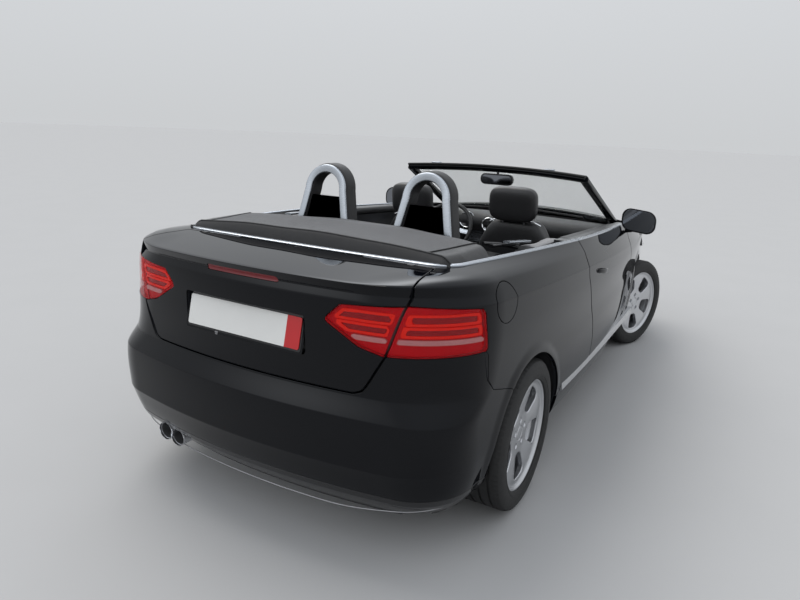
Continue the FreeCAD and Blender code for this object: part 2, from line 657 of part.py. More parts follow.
def crown_section(behind, crown, drop):
    """Bonnet's cross-section: an arc over the belt outline, closed well below."""
    x = NOSE_X - WATERLINES["belt"].nose_in - behind
    line = WATERLINES["belt"]
    half = SIDE_Y - line.side_in
    radius = line.side_r_front
    edge = half - radius + math.sqrt(radius ** 2 - (x - WIDEST_X) ** 2)
    edge_z = height("belt", x) - drop
    slope = crown / edge ** 2
    wide = half + 60
    end_z = edge_z + crown - slope * wide ** 2
    a = V(x, -wide, end_z)
    b = V(x, wide, end_z)
    foot = GRILLE_FOOT_Z
    return Part.Wire([
        Part.Arc(a, V(x, 0, edge_z + crown), b).toShape(),
        Part.makeLine(b, V(x, wide, foot)),
        Part.makeLine(V(x, wide, foot), V(x, -wide, foot)),
        Part.makeLine(V(x, -wide, foot), a),
    ])


def bonnet_rear_curve():
    return Part.makeCylinder(BONNET_REAR_R, ABOVE_Z, V(BONNET_REAR_X - BONNET_REAR_R, 0, 0))


def bonnet_arm():
    """Right hinge arm: an eye on the axis and a bar that meets the bonnet's underside."""
    y0 = -BONNET_HINGE_Y - BONNET_ARM_T
    eye = rod_y(BONNET_AXIS_X, BONNET_AXIS_Z, y0, y0 + BONNET_ARM_T, BONNET_EYE_R)
    bar = box(BONNET_AXIS_X, BONNET_AXIS_X + 100, y0, y0 + BONNET_ARM_T, BONNET_AXIS_Z - 8, BONNET_AXIS_Z + 16)
    bar = bar.cut(bonnet_rear_curve().cut(box(-FAR, FAR, -FAR, FAR, 0, BONNET_AXIS_Z + 8)))
    bore = rod_y(BONNET_AXIS_X, BONNET_AXIS_Z, y0, y0 + BONNET_ARM_T, BONNET_PIN_R + SHAFT_PLAY)
    return eye.fuse(bar).cut(bore)


def bonnet_pin():
    y0 = -BONNET_HINGE_Y - BONNET_ARM_T - 4
    pin = rod_y(BONNET_AXIS_X, BONNET_AXIS_Z, y0, -BONNET_HINGE_Y + 14, BONNET_PIN_R)
    plate = box(SCREEN_SIDE_X - 2, BONNET_AXIS_X + 8, -BONNET_HINGE_Y + 4, -BONNET_HINGE_Y + 12, SCUTTLE_Z, BONNET_AXIS_Z + 8)
    return pin.fuse(plate)


def make_bonnet():
    outer = Part.makeLoft([crown_section(x, c, 0.0) for x, c in CROWN], True, True)
    inner = Part.makeLoft([crown_section(x, c, BONNET_T) for x, c in CROWN], True, True)
    nose_box = box(FRONT_LAMP_X + PANEL_GAP, NOSE_X, -BONNET_NOSE_HALF, BONNET_NOSE_HALF, 0, ABOVE_Z)
    plan = belt_prism(BONNET_EDGE).fuse(belt_prism(0.0).common(nose_box))
    panel = outer.cut(inner).common(plan)
    above_lamps = box(-FAR, FAR, -FAR, FAR, GRILLE_TOP_Z + PANEL_GAP, ABOVE_Z).cut(lamp_band(PANEL_GAP, FRONT_AXLE_X))
    nose = skin(BONNET_T).common(nose_box).common(above_lamps).cut(belt_prism(BONNET_T))
    bonnet = panel.fuse(nose).cut(bonnet_rear_curve())
    arm = bonnet_arm()
    return bonnet.fuse(arm).fuse(mirror(arm)).removeSplitter()


def bow(side, middle):
    x, y, z = side
    return Part.Arc(V(x, -y, z), V(*middle), V(x, y, z)).toShape()


def screen_slab(drop, thickness):
    """Windscreen surface swept down by its thickness, lowered by drop."""
    head = bow((HEADER_SIDE_X, HEADER_SIDE_Y, HEADER_SIDE_Z - drop), (HEADER_X, 0, HEADER_Z - drop))
    base = bow((SCREEN_SIDE_X, SCREEN_SIDE_Y, SCREEN_SIDE_Z - drop), (SCREEN_BASE_X, 0, SCREEN_BASE_Z - drop))
    return Part.makeRuledSurface(head, base).extrude(V(0, 0, -thickness))


def screen_opening(grow):
    """Upright prism through the glass: a pillar's width inside the sides and ahead of the header."""
    top = HEADER_SIDE_X + HEADER_W - grow
    middle = HEADER_X + HEADER_W - grow
    front = SCREEN_BASE_X + 40
    half_top = HEADER_SIDE_Y - PILLAR_W + grow
    half_base = SCREEN_SIDE_Y - PILLAR_W + grow
    wire = Part.Wire([
        Part.Arc(V(top, half_top, 0), V(middle, 0, 0), V(top, -half_top, 0)).toShape(),
        Part.makeLine(V(top, -half_top, 0), V(front, -half_base, 0)),
        Part.makeLine(V(front, -half_base, 0), V(front, half_base, 0)),
        Part.makeLine(V(front, half_base, 0), V(top, half_top, 0)),
    ])
    return Part.Face(wire).extrude(V(0, 0, ABOVE_Z))


def make_screen_frame():
    frame = screen_slab(0.0, FRAME_T).cut(screen_opening(SEAT))
    rear = BULKHEAD_X - BULKHEAD_T + 1
    top = BULKHEAD_X + 11
    cowl = side_prism([(rear, top + SEAT), (rear, top + COWL_T), (SCREEN_SIDE_X + 4, SCUTTLE_Z + 5), (SCREEN_SIDE_X + 4, SCUTTLE_Z - 9)],
                      -SCREEN_SIDE_Y, -COWL_HALF)
    pin = bonnet_pin()
    for fix in (lambda s: s, mirror):
        frame = frame.fuse(fix(cowl)).fuse(fix(pin))
    return frame


def make_glass():
    return screen_slab(GLASS_DROP, GLASS_T).common(screen_opening(0.0))


def make_scuttle():
    front = bonnet_rear_curve()
    return front.common(box(SCREEN_SIDE_X + 4 + SEAT, SCREEN_BASE_X + 100, -COWL_HALF - 8, COWL_HALF + 8, SCUTTLE_Z, SCUTTLE_Z + SCUTTLE_T))


def make_floor():
    edge = DOOR_INNER_Y - SEAT
    top = FLOOR_Z + FLOOR_T
    floor = box(HEEL_X, BULKHEAD_X, -edge, edge, FLOOR_Z, top)
    floor = floor.fuse(box(HEEL_X + FLOOR_T, BULKHEAD_X, -TUNNEL_HALF, TUNNEL_HALF, top, TUNNEL_TOP))
    floor = floor.fuse(box(BULKHEAD_X - BULKHEAD_T, BULKHEAD_X, -edge, edge, top, BULKHEAD_X + 11))
    floor = floor.fuse(box(HEEL_X - FLOOR_T, HEEL_X, -TUB_HALF, TUB_HALF, FLOOR_Z, REAR_FLOOR_Z + FLOOR_T))
    floor = floor.fuse(box(TUB_REAR_X, HEEL_X - FLOOR_T, -REAR_FLOOR_HALF, REAR_FLOOR_HALF, REAR_FLOOR_Z, REAR_FLOOR_Z + FLOOR_T))
    rail = box(BULKHEAD_X, NOSE_X - 219, RAIL_IN, RAIL_OUT, RAIL_FOOT, RAIL_TOP)
    floor = floor.fuse(rail).fuse(mirror(rail))
    hollow = TUNNEL_HALF - TUNNEL_T
    return floor.cut(box(HEEL_X - 2 * FLOOR_T, BULKHEAD_X - 2 * BULKHEAD_T, -hollow, hollow, 0, TUNNEL_TOP - TUNNEL_T)).removeSplitter()


def make_tub():
    foot = REAR_FLOOR_Z + FLOOR_T + SEAT
    tub = box(TUB_REAR_X, TUB_FRONT_X, -TUB_HALF, TUB_HALF, foot, TUB_TOP_Z)
    tub = tub.fuse(box(TUB_FRONT_X - TUB_T, TUB_FRONT_X, -TUB_HALF, TUB_HALF, foot, HOOP_FOOT_Z - SEAT))
    tub = tub.cut(box(TUB_REAR_X + TUB_T, TUB_FRONT_X - TUB_T, -TUB_HALF + TUB_T, TUB_HALF - TUB_T, foot + TUB_T, ABOVE_Z))
    return tub.cut(box(TAIL_X, TUB_REAR_X + TUB_LIP_L, -TUB_HALF, TUB_HALF, TUB_SILL_Z, ABOVE_Z)).removeSplitter()


def make_liner(axle_x, inner_y, clear, bumper_x0, bumper_x1):
    """Wheelhouse: an open half drum with its inner wall, seated against the skin and inside the bumper."""
    radius = TYRE_R + clear
    drum = rod_y(axle_x, AXLE_Z, -SIDE_Y, -inner_y, radius + LINER_T)
    drum = drum.cut(rod_y(axle_x, AXLE_Z, -SIDE_Y, -inner_y - LINER_T, radius))
    keep = box(axle_x - 2 * TYRE_R, axle_x + 2 * TYRE_R, -SIDE_Y, 0, AXLE_Z + 70, ABOVE_Z)
    bumper = box(bumper_x0, bumper_x1, -FAR, 0, 0, ABOVE_Z).cut(BUMPER_INSIDE)
    return drum.common(keep).common(INSIDE).cut(bumper)


def make_dashboard():
    rear = DASH_REAR_X
    wall = BULKHEAD_X - BULKHEAD_T - SEAT
    dash = side_prism([(wall, DASH_FOOT_Z), (wall, 885), (rear + 260, DASH_TOP_Z), (rear + 60, DASH_TOP_Z - 15), (rear, 860),
                       (rear + 40, 700), (rear + 200, DASH_FOOT_Z)], -DASH_HALF, DASH_HALF)
    dash = dash.cut(side_prism([(wall - 15, 0), (wall - 15, 860), (rear + 220, 880), (rear + 220, 0)], -DASH_HALF + 20, DASH_HALF - 20))
    dash = dash.fuse(side_prism([(rear + 260, DASH_TOP_Z), (rear + 260, DASH_TOP_Z - 30), (wall - 15, 880), (SCREEN_SIDE_X - 15, 898),
                                 (SCREEN_SIDE_X - 15, 915)], -COWL_HALF + 2, COWL_HALF - 2))
    low = TUNNEL_TOP + SEAT
    console = box(CONSOLE_REAR_X, rear + 200, -CONSOLE_HALF, CONSOLE_HALF, low, 430)
    stack = box(rear + 40, wall - 5, -CONSOLE_HALF - 40, CONSOLE_HALF + 40, low, 700)
    dash = dash.fuse(console).fuse(stack)
    start = wheel_centre() + column_direction() * SHROUD_START
    shroud = Part.makeCylinder(SHROUD_R, 220, start, column_direction())
    bore = Part.makeCylinder(COLUMN_R + SHAFT_PLAY, 100, start, column_direction())
    return dash.fuse(shroud).cut(bore).removeSplitter()


def wheel_centre():
    return V(WHEEL_X, WHEEL_Y, WHEEL_Z)


def column_direction():
    return V(1, 0, -COLUMN_SLOPE).normalize()


def make_steering_wheel():
    centre = wheel_centre()
    along = column_direction()
    ring = Part.makeTorus(STEER_RING_R, STEER_GRIP_R, centre, along)
    hub = Part.makeCylinder(62, 34, centre - along * 4, along)
    spokes = rod((WHEEL_X, WHEEL_Y - STEER_RING_R + 4, WHEEL_Z), (0, 1, 0), 2 * STEER_RING_R - 8, 12)
    shaft = Part.makeCylinder(COLUMN_R, SHROUD_START + 90, centre, along)
    return ring.fuse(hub).fuse(spokes).fuse(shaft).removeSplitter()


def make_front_seat(x, y, lift):
    floor = FLOOR_Z + FLOOR_T + SEAT
    cushion = side_prism([(x - 40, 305 + lift), (x + 480, 335 + lift), (x + 500, 450 + lift), (x - 20, 410 + lift)],
                         y - SEAT_HALF, y + SEAT_HALF)
    back = side_prism([(x - 20, 380 + lift), (x + 90, 380 + lift), (x - 100, 1010 + lift), (x - 210, 1010 + lift)],
                      y - SEAT_BACK_HALF, y + SEAT_BACK_HALF)
    rest = side_prism([(x - 190, 1000 + lift), (x - 120, 1000 + lift), (x - 150, 1195 + lift), (x - 230, 1185 + lift)],
                      y - HEAD_REST_HALF, y + HEAD_REST_HALF)
    base = box(x + 20, x + 420, y - SEAT_HALF + 30, y + SEAT_HALF - 30, floor, 330 + lift)
    return cushion.fuse(back).fuse(rest).fuse(base).removeSplitter()


def make_rear_seat():
    floor = FLOOR_Z + FLOOR_T + SEAT
    rear = HEEL_X + 25
    seat = side_prism([(rear, floor), (rear + 450, floor), (rear + 465, 500), (rear + 85, 470), (rear - 20, 960), (rear - 70, 960),
                       (rear - 10, 470)], -REAR_SEAT_HALF, REAR_SEAT_HALF)
    gap = TUNNEL_HALF + SEAT
    return seat.cut(box(-FAR, FAR, -gap, gap, 0, TUNNEL_TOP + SEAT))


def make_side_trim():
    rear = DOOR_REAR_X - TRIM_REAR
    front = DOOR_REAR_X + TRIM_FRONT
    outer = -DOOR_INNER_Y + SEAT
    floor = FLOOR_Z + FLOOR_T + SEAT
    trim = plan_prism([(rear, outer), (front, outer), (front, outer + 50), (front - 25, -TRIM_INNER_Y), (rear, -TRIM_INNER_Y)],
                      floor, ABOVE_Z)
    return trim.common(under_belt(-TRIM_TOP_DROP))


def make_hoop(y):
    """Arch band with a lower panel; its legs spread towards the foot."""
    def arch_prism(inset, foot, depth, x):
        spring = HOOP_TOP_Z - HOOP_TOP_R
        radius = HOOP_TOP_R - inset
        half = HOOP_FOOT_HALF - inset
        at = radius + (half - radius) * (spring - foot) / (spring - HOOP_FOOT_Z)
        left = V(x, y - radius, spring)
        right = V(x, y + radius, spring)
        wire = Part.Wire([
            Part.Arc(left, V(x, y, spring + radius), right).toShape(),
            Part.makeLine(right, V(x, y + at, foot)),
            Part.makeLine(V(x, y + at, foot), V(x, y - at, foot)),
            Part.makeLine(V(x, y - at, foot), left),
        ])
        return Part.Face(wire).extrude(V(depth, 0, 0))
    solid = arch_prism(0.0, HOOP_FOOT_Z, HOOP_DEPTH + 15, HOOP_REAR_X)
    hole = arch_prism(HOOP_BAND, HOOP_PANEL_Z, HOOP_DEPTH * 2, HOOP_REAR_X - 20)
    face = arch_prism(HOOP_BAND, HOOP_FOOT_Z + 30, 20, HOOP_REAR_X)
    return solid.cut(hole).cut(face)


def pack_section(ahead, half, side_z, middle_z):
    x = STRIP_X + ahead
    return Part.Wire([
        Part.Arc(V(x, -half, side_z), V(x, 0, middle_z), V(x, half, side_z)).toShape(),
        Part.makeLine(V(x, half, side_z), V(x, half, PACK_FOOT_Z)),
        Part.makeLine(V(x, half, PACK_FOOT_Z), V(x, -half, PACK_FOOT_Z)),
        Part.makeLine(V(x, -half, PACK_FOOT_Z), V(x, -half, side_z)),
    ])


def make_belt_trim():
    ring = belt_prism(0.0).cut(belt_prism(STRIP_W, -10.0, ABOVE_Z + 10.0))
    strip = ring.common(under_belt(STRIP_T).cut(under_belt(SEAT)))
    return strip.common(box(TAIL_X, DOOR_REAR_X - PANEL_GAP, -FAR, FAR, 0, ABOVE_Z))


def make_wheel():
    """Tyre and rim about the Y axis, outer face towards -Y; the rim's bore is open on the inside only."""
    half = TYRE_W / 2
    seat_r = RIM_SEAT_R
    wall = [(seat_r, half - 12), (seat_r + 25, half), (TYRE_R - 28, half), (TYRE_R - 8, half - 12), (TYRE_R, half - 32)]
    profile = [(r, -y) for r, y in wall] + [(r, y) for r, y in reversed(wall)]
    tyre = revolve(profile)
    w = RIM_W / 2
    edge = seat_r - SEAT
    rim = revolve([(edge, -w), (edge, w), (edge - 12, w), (edge - 20, w - 30), (RIM_WELL_R, w - 60), (RIM_WELL_R, -w + 70),
                   (edge - 14, -w + 20), (edge - 14, -w)])
    plate = rod_y(0, 0, -w + RIM_PLATE_IN, -w + RIM_PLATE_IN + RIM_PLATE_T, edge - 10)
    for k in range(WHEEL_HOLES):
        plate = plate.cut(wheel_hole(WHEEL_HOLE_FIRST_DEG + 360.0 / WHEEL_HOLES * k, w))
    hub = rod_y(0, 0, -w + RIM_PLATE_IN - 4, 20, WHEEL_HUB_R)
    bore = rod_y(0, 0, -SPINDLE_OUT - 4, w, SPINDLE_R + SHAFT_PLAY)
    return tyre, rim.fuse(plate).fuse(hub).cut(bore).removeSplitter()


def wheel_hole(middle_deg, half):
    """Bean-shaped opening between two spokes: an arc at each end and rounded corners."""
    def at(radius, degrees):
        angle = math.radians(middle_deg + degrees)
        return V(radius * math.cos(angle), -half, radius * math.sin(angle))
    a, b = WHEEL_HOLE_IN_DEG, WHEEL_HOLE_OUT_DEG
    wire = Part.Wire([
        Part.Arc(at(WHEEL_HOLE_OUT_R, -b), at(WHEEL_HOLE_OUT_R, 0), at(WHEEL_HOLE_OUT_R, b)).toShape(),
        Part.makeLine(at(WHEEL_HOLE_OUT_R, b), at(WHEEL_HOLE_IN_R, a)),
        Part.Arc(at(WHEEL_HOLE_IN_R, a), at(WHEEL_HOLE_IN_R, 0), at(WHEEL_HOLE_IN_R, -a)).toShape(),
        Part.makeLine(at(WHEEL_HOLE_IN_R, -a), at(WHEEL_HOLE_OUT_R, -b)),
    ])
    hole = Part.Face(wire).extrude(V(0, 2 * half, 0))
    upright = [e for e in hole.Edges if len(e.Vertexes) == 2 and abs(e.Vertexes[0].Y - e.Vertexes[1].Y) > half]
    return hole.makeFillet(WHEEL_HOLE_CORNER_R, upright)


def revolve(profile):
    corners = [V(r, y, 0) for r, y in profile]
    return Part.Face(Part.makePolygon(corners + corners[:1])).revolve(V(0, 0, 0), V(0, 1, 0), 360)


def place_wheel(shape, axle_x, y, turn):
    """Put a wheel or knuckle at its corner of the car, turned about its kingpin."""
    placed = mirror(shape) if y > 0 else shape.copy()
    placed.translate(V(axle_x, y, AXLE_Z))
    if turn:
        placed.rotate(V(axle_x, math.copysign(KINGPIN_Y, y), 0), V(0, 0, 1), turn)
    return placed


def make_knuckle():
    """Spindle, upright and ball stud; the kingpin axis passes through the upright."""
    spindle = rod_y(0, 0, -SPINDLE_OUT, 75, SPINDLE_R)
    flange = rod_y(0, 0, 30, 62, 60)
    upright = box(-30, 30, 32, KINGPIN_IN + 22, -KNUCKLE_H, KNUCKLE_H)
    stud = rod((0, KINGPIN_IN, -KNUCKLE_H - ARM_T), (0, 0, 1), ARM_T + 5, BALL_R)
    return spindle.fuse(flange).fuse(upright).fuse(stud)


def make_subframe():
    """Cross member under the engine, with mounts and the two lower arms that hold the ball studs."""
    rear = ENGINE_REAR_X
    frame = box(rear, rear + SUBFRAME_L, -RAIL_OUT, RAIL_OUT, SUBFRAME_FOOT_Z, SUBFRAME_TOP_Z)
    arm_top = AXLE_Z - KNUCKLE_H - SEAT
    for y in (-1, 1):
        pad = sorted((y * RAIL_IN, y * RAIL_OUT))
        frame = frame.fuse(box(rear, rear + SUBFRAME_L, pad[0], pad[1], SUBFRAME_TOP_Z, RAIL_FOOT - SEAT))
        link = sorted((y * RAIL_IN, y * KINGPIN_Y))
        frame = frame.fuse(box(FRONT_AXLE_X - ARM_HALF, FRONT_AXLE_X + ARM_HALF, link[0], link[1], arm_top - ARM_T, arm_top))
        frame = frame.fuse(rod((FRONT_AXLE_X, y * KINGPIN_Y, arm_top - ARM_T), (0, 0, 1), ARM_T, ARM_HALF))
        frame = frame.fuse(box(FRONT_AXLE_X - ARM_HALF, FRONT_AXLE_X + ARM_HALF, pad[0], pad[1], arm_top - ARM_T, SUBFRAME_FOOT_Z))
        frame = frame.cut(rod((FRONT_AXLE_X, y * KINGPIN_Y, 0), (0, 0, 1), arm_top, BALL_R + SHAFT_PLAY))
        mount = sorted((y * 150, y * 250))
        frame = frame.fuse(box(rear + 100, rear + 200, mount[0], mount[1], SUBFRAME_TOP_Z, ENGINE_FOOT_Z - SEAT))
    return frame.removeSplitter()


def make_rear_axle():
    out = REAR_HALF_TRACK + SPINDLE_OUT
    axle = rod_y(REAR_AXLE_X, AXLE_Z, -CARRIER_Y, CARRIER_Y, BEAM_R).fuse(rod_y(REAR_AXLE_X, AXLE_Z, -out, out, SPINDLE_R))
    carrier = box(REAR_AXLE_X - CARRIER_HALF, REAR_AXLE_X + CARRIER_HALF, CARRIER_Y - 60, CARRIER_Y, AXLE_Z - 98, AXLE_Z + 70)
    mount = box(REAR_AXLE_X - CARRIER_HALF, REAR_AXLE_X + CARRIER_HALF, REAR_FLOOR_HALF - 60, REAR_FLOOR_HALF, AXLE_Z, REAR_FLOOR_Z - SEAT)
    for piece in (carrier, mirror(carrier), mount, mirror(mount)):
        axle = axle.fuse(piece)
    return axle.removeSplitter()


def make_exhaust():
    x0, x1, y0, y1, z0, z1 = SILENCER
    exhaust = box(x0, x1, y0, y1, z0, z1)
    exhaust = exhaust.fuse(rod((x1 - 20, 0, FLOOR_Z + 66), (1, 0, 0), BULKHEAD_X - x1 - 220, PIPE_R))
    for y in (y0 + 40, y1 - 90):
        exhaust = exhaust.fuse(rod((x0 + 120, y, z1 - 5), (0, 0, 1), REAR_FLOOR_Z - SEAT - z1 + 5, 8))
    for y, z in TAIL_PIPES:
        reach = x0 + 20 - TAIL_PIPE_END_X
        exhaust = exhaust.fuse(rod((TAIL_PIPE_END_X, y, z), (1, 0, 0), reach, TAIL_PIPE_R))
        exhaust = exhaust.cut(rod((TAIL_PIPE_END_X, y, z), (1, 0, 0), reach - 40, TAIL_PIPE_R - TAIL_PIPE_WALL))
    return exhaust.removeSplitter()


def make_door_mirror():
    shell = box(MIRROR_X, MIRROR_X + 95, -985, -865, 925, 1045)
    shell = shell.makeFillet(22, shell.Edges)
    foot = box(MIRROR_X + 25, MIRROR_X + 75, -900, -790, 925, 958)
    return shell.fuse(foot).cut(under_belt(SEAT).common(BODY)).cut(BODY)


def make_interior_mirror():
    glass_z = HEADER_Z - (HEADER_Z - SCREEN_BASE_Z) * (330.0 - HEADER_X) / (SCREEN_BASE_X - HEADER_X) - GLASS_DROP - GLASS_T
    return box(300, 325, -110, 110, 1175, 1240).fuse(box(312, 330, -12, 12, 1235, glass_z - SEAT))


def make_engine():
    return box(ENGINE_REAR_X, ENGINE_REAR_X + ENGINE_LENGTH, -ENGINE_HALF, ENGINE_HALF, ENGINE_FOOT_Z, ENGINE_TOP_Z)


def make_parts():
    tyre, rim = make_wheel()
    knuckle = make_knuckle()
    door = make_door()
    door_mirror = make_door_mirror()
    parts = {
        "floor_pan": make_floor(),
        "sills": both(make_sill()),
        "quarter_panels": both(make_quarter()),
        "front_wings": both(make_front_wing()),
        "front_bumper": make_front_bumper(),
        "front_grille": make_grille(),
        "headlamps": both(make_head_lamp()),
        "rear_bumper": make_rear_bumper(),
        "rear_valance": make_valance(),
        "tail_lamps": both(make_tail_lamp()),
        "windscreen_frame": make_screen_frame(),
        "windscreen_glass": make_glass(),
        "scuttle": make_scuttle(),
        "dashboard": make_dashboard(),
        "front_seats": Part.makeCompound([make_front_seat(*DRIVER_SEAT), make_front_seat(*PASSENGER_SEAT)]),
        "rear_seat": make_rear_seat(),
        "roll_hoops": Part.makeCompound([make_hoop(-HOOP_Y), make_hoop(HOOP_Y)]),
        "hood_pack": Part.makeLoft([pack_section(*row) for row in PACK], True, True),
        "belt_trim": make_belt_trim(),
        "side_trims": both(make_side_trim()),
        "boot_tub": make_tub(),
        "front_wheel_liners": both(make_liner(FRONT_AXLE_X, 462.0, FRONT_LINER_CLEAR, FRONT_BUMPER_X - SEAT, NOSE_X)),
        "rear_wheel_liners": both(make_liner(REAR_AXLE_X, 590.0, REAR_LINER_CLEAR, TAIL_X, REAR_BUMPER_X + SEAT)),
        "engine_block": make_engine(),
        "exhaust": make_exhaust(),
        "front_subframe": make_subframe(),
        "rear_axle": make_rear_axle(),
        "interior_mirror": make_interior_mirror(),
        "door_right": door,
        "door_left": mirror(door),
        "mirror_right": door_mirror,
        "mirror_left": mirror(door_mirror),
        "bonnet": make_bonnet(),
        "boot_lid": make_boot_lid(),
        "boot_lid_lamps": both(make_lid_lamp()),
        "rear_plate": make_plate(),
        "steering_wheel": make_steering_wheel(),
    }
    for side, sign in (("right", -1), ("left", 1)):
        parts["knuckle_" + side] = place_wheel(knuckle, FRONT_AXLE_X, sign * FRONT_HALF_TRACK, STEER_REST_DEG)
        for end, axle_x, track, turn in (("rear", REAR_AXLE_X, REAR_HALF_TRACK, 0.0),
                                         ("front", FRONT_AXLE_X, FRONT_HALF_TRACK, STEER_REST_DEG)):
            parts["rim_" + end + "_" + side] = place_wheel(rim, axle_x, sign * track, turn)
            parts["tyre_" + end + "_" + side] = place_wheel(tyre, axle_x, sign * track, turn)
    return parts


os.makedirs("parts", exist_ok=True)
for name, shape in make_parts().items():
    solids = shape.Solids
    print(name, len(solids), "solids", round(shape.Volume / 1e6, 2), "litres", "" if shape.isValid() else "invalid")
    result = solids[0] if len(solids) == 1 else Part.makeCompound(solids)
    result.exportStep("parts/" + name + ".step")
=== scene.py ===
"""Looks of the four-seat convertible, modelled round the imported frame.

Smooth panels, lamps, wheels, trim, cabin and the folded hood. Sizes are millimetres and become metres when
a mesh is made. +X is the nose, +Y the car's left, +Z up.
"""

import math
from collections import namedtuple

import bpy
import numpy as np
from mathutils import Matrix, Vector
from mathutils.bvhtree import BVHTree


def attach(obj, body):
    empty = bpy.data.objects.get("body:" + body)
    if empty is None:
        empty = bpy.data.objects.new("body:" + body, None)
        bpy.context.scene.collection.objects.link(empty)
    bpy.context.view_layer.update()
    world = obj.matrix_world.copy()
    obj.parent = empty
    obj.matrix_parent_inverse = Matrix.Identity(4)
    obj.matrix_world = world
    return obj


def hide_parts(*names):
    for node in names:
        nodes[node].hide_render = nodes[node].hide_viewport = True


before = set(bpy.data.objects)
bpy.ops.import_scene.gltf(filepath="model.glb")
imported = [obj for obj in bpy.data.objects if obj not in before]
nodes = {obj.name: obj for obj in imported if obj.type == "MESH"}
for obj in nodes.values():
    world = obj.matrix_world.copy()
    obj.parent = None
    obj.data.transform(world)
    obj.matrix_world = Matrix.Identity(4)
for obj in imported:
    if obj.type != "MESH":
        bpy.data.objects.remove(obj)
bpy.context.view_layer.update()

MM = 0.001
FLIP = np.array([1.0, -1.0, 1.0])
SIDES = ("right", "left")
FORWARD, LEFTWARD, UPRIGHT = (1.0, 0.0, 0.0), (0.0, 1.0, 0.0), (0.0, 0.0, 1.0)
LENGTH = 4238.0
WIDTH = 1765.0
WHEELBASE = 2578.0
TAIL_X = -LENGTH / 2
NOSE_X = LENGTH / 2
SIDE_Y = WIDTH / 2
REAR_AXLE_X = TAIL_X + 780.0
FRONT_AXLE_X = REAR_AXLE_X + WHEELBASE
AXLE_Z = 318.0
TYRE_R = 318.0
WIDEST_X = -300.0
DROOP_START_X = 600.0
GAP = 5.5
EDGE_R = 2.2
FLANGE = 11.0
ARCH_R = {"rear": TYRE_R + 30.0, "front": TYRE_R + 34.0}

# Waterlines of the body, bottom to top, with how sharp each is as a crease at the tail and on the side
Line = namedtuple("Line", "z fall nose_droop tail_droop tail_in side_in nose_in side_r_back side_r_front "
                          "tail_r nose_r tail_corner_r nose_corner_r tail_crease side_crease")
LINES = {
    "floor": Line(170, 0, 0, 0, 150, 95, 170, 21000, 15000, 3000, 2300, 230, 300, 0, 0),
    "valance": Line(265, 0, 0, 0, 58, 30, 60, 21000, 15000, 3000, 2300, 240, 320, 0.5, 0.4),
    "lip": Line(405, 0, 0, 0, 0, 4, 0, 21000, 15000, 3000, 2300, 285, 330, 1, 0),
    "shelf": Line(580, 0, 0, 0, 8, 0, 6, 21000, 15000, 3000, 2300, 260, 330, 0.8, 0),
    "lid_foot": Line(650, 0, 0, 0, 42, 4, 24, 21000, 15000, 3000, 2300, 330, 330, 0.6, 0),
    "lamp": Line(800, 0.02, 0, 0, 43, 7, 80, 21000, 15000, 3000, 2300, 400, 330, 0, 0),
    "tornado": Line(863, 0.0535, 11, 0, 45, 16, 130, 21000, 15000, 3000, 2300, 410, 340, 0.4, 1),
    "brow": Line(893, 0.053, 22, 1, 55, 29, 160, 20500, 14800, 3000, 2300, 420, 335, 1, 0),
    "shoulder": Line(935, 0.052, 40, 4, 34, 46, 215, 19000, 14500, 3100, 2300, 440, 330, 1, 0),
    "belt": Line(990, 0.05, 71, 19, 374, 78, 330, 6500, 14000, 14000, 2200, 120, 300, 0, 0),
}
NAMES = list(LINES)
# Cells along the tail's arc, its corner, the rear side, the front side, the nose's corner and its arc
ARC_CELLS = (48, 26, 120, 160, 26, 44)
CELL = 13.0

# Bonnet crown: distance behind the belt outline's nose, height over the belt line
CROWN = ((0, 1), (90, 8), (250, 28), (490, 50), (900, 64), (1300, 66))
CROWN_ROWS = 26
# How close to the crown a packed face of the bonnet counts as its outside
CROWN_REACH = 9.0
# Station behind which the front's sheets begin
FRONT_FROM = 3.35
DOOR_FRONT_X = FRONT_AXLE_X - 590.0
# Rear edge of the door from bottom to top: height, distance ahead of the rear axle
DOOR_REAR_EDGE = ((300, 929), (364, 929), (500, 914), (609, 878), (718, 814), (850, 743), (1000, 735),
                  (1100, 735))
DOOR_REAR_X = REAR_AXLE_X + DOOR_REAR_EDGE[-1][1]
DOOR_BOTTOM_Z = 372.0
QUARTER_FOOT_Z = 597.0
SILL_TOP_Z = DOOR_BOTTOM_Z - GAP
WING_REAR_X = DOOR_FRONT_X + 11.0
STRIP_X = TAIL_X + LINES["belt"].tail_in
LID_FRONT_X = STRIP_X - 12.0
LID_OUTLINE = ((462, 660), (490, 671), (506, 694), (563, 799), (618, 975), (632, 1020), (637, 1200))
LID_REAR_HALF = 657.0
LID_FRONT_HALF = 593.0
LID_LAMP = ((-700, 975), (-407, 957), (-346, 898), (-475, 822), (-563, 799), (-700, 799))
LID_LAMP_FRONT_X = -1950.0
QUARTER_LAMP = ((TAIL_X - 20, 978), (TAIL_X + 109, 975), (TAIL_X + 350, 948),
                (TAIL_X + 362, 800), (TAIL_X - 20, 800))
QUARTER_LAMP_INNER_Y = -547.0
BRAKE_LIGHT = ((-165, 993), (165, 993), (160, 1013), (-160, 1013))
BRAKE_LIGHT_FRONT_X = -2000.0
FLAP_X, FLAP_Z, FLAP_HALF_LENGTH, FLAP_HALF_HEIGHT = -1624.0, 940.0, 84.0, 72.0
FLAP_SCALE = 76.0
REAR_BUMPER = ((TAIL_X - 20, 800), (TAIL_X + 362, 800), (TAIL_X + 368, 690),
               (TAIL_X + 405, 646), (TAIL_X + 560, 600), (TAIL_X + 560, 292), (TAIL_X - 20, 292))
FRONT_BUMPER_X = FRONT_AXLE_X + 215.0
FRONT_BUMPER_TOP = 600.0
FRONT_LAMP_X = FRONT_AXLE_X + 420.0
LAMP_TOP_Z = 772.0
LAMP_TOP_FALL = 0.16
HEAD_LAMP_DEPTH = 96.0
HEAD_LAMP_INNER_Y = -334.0
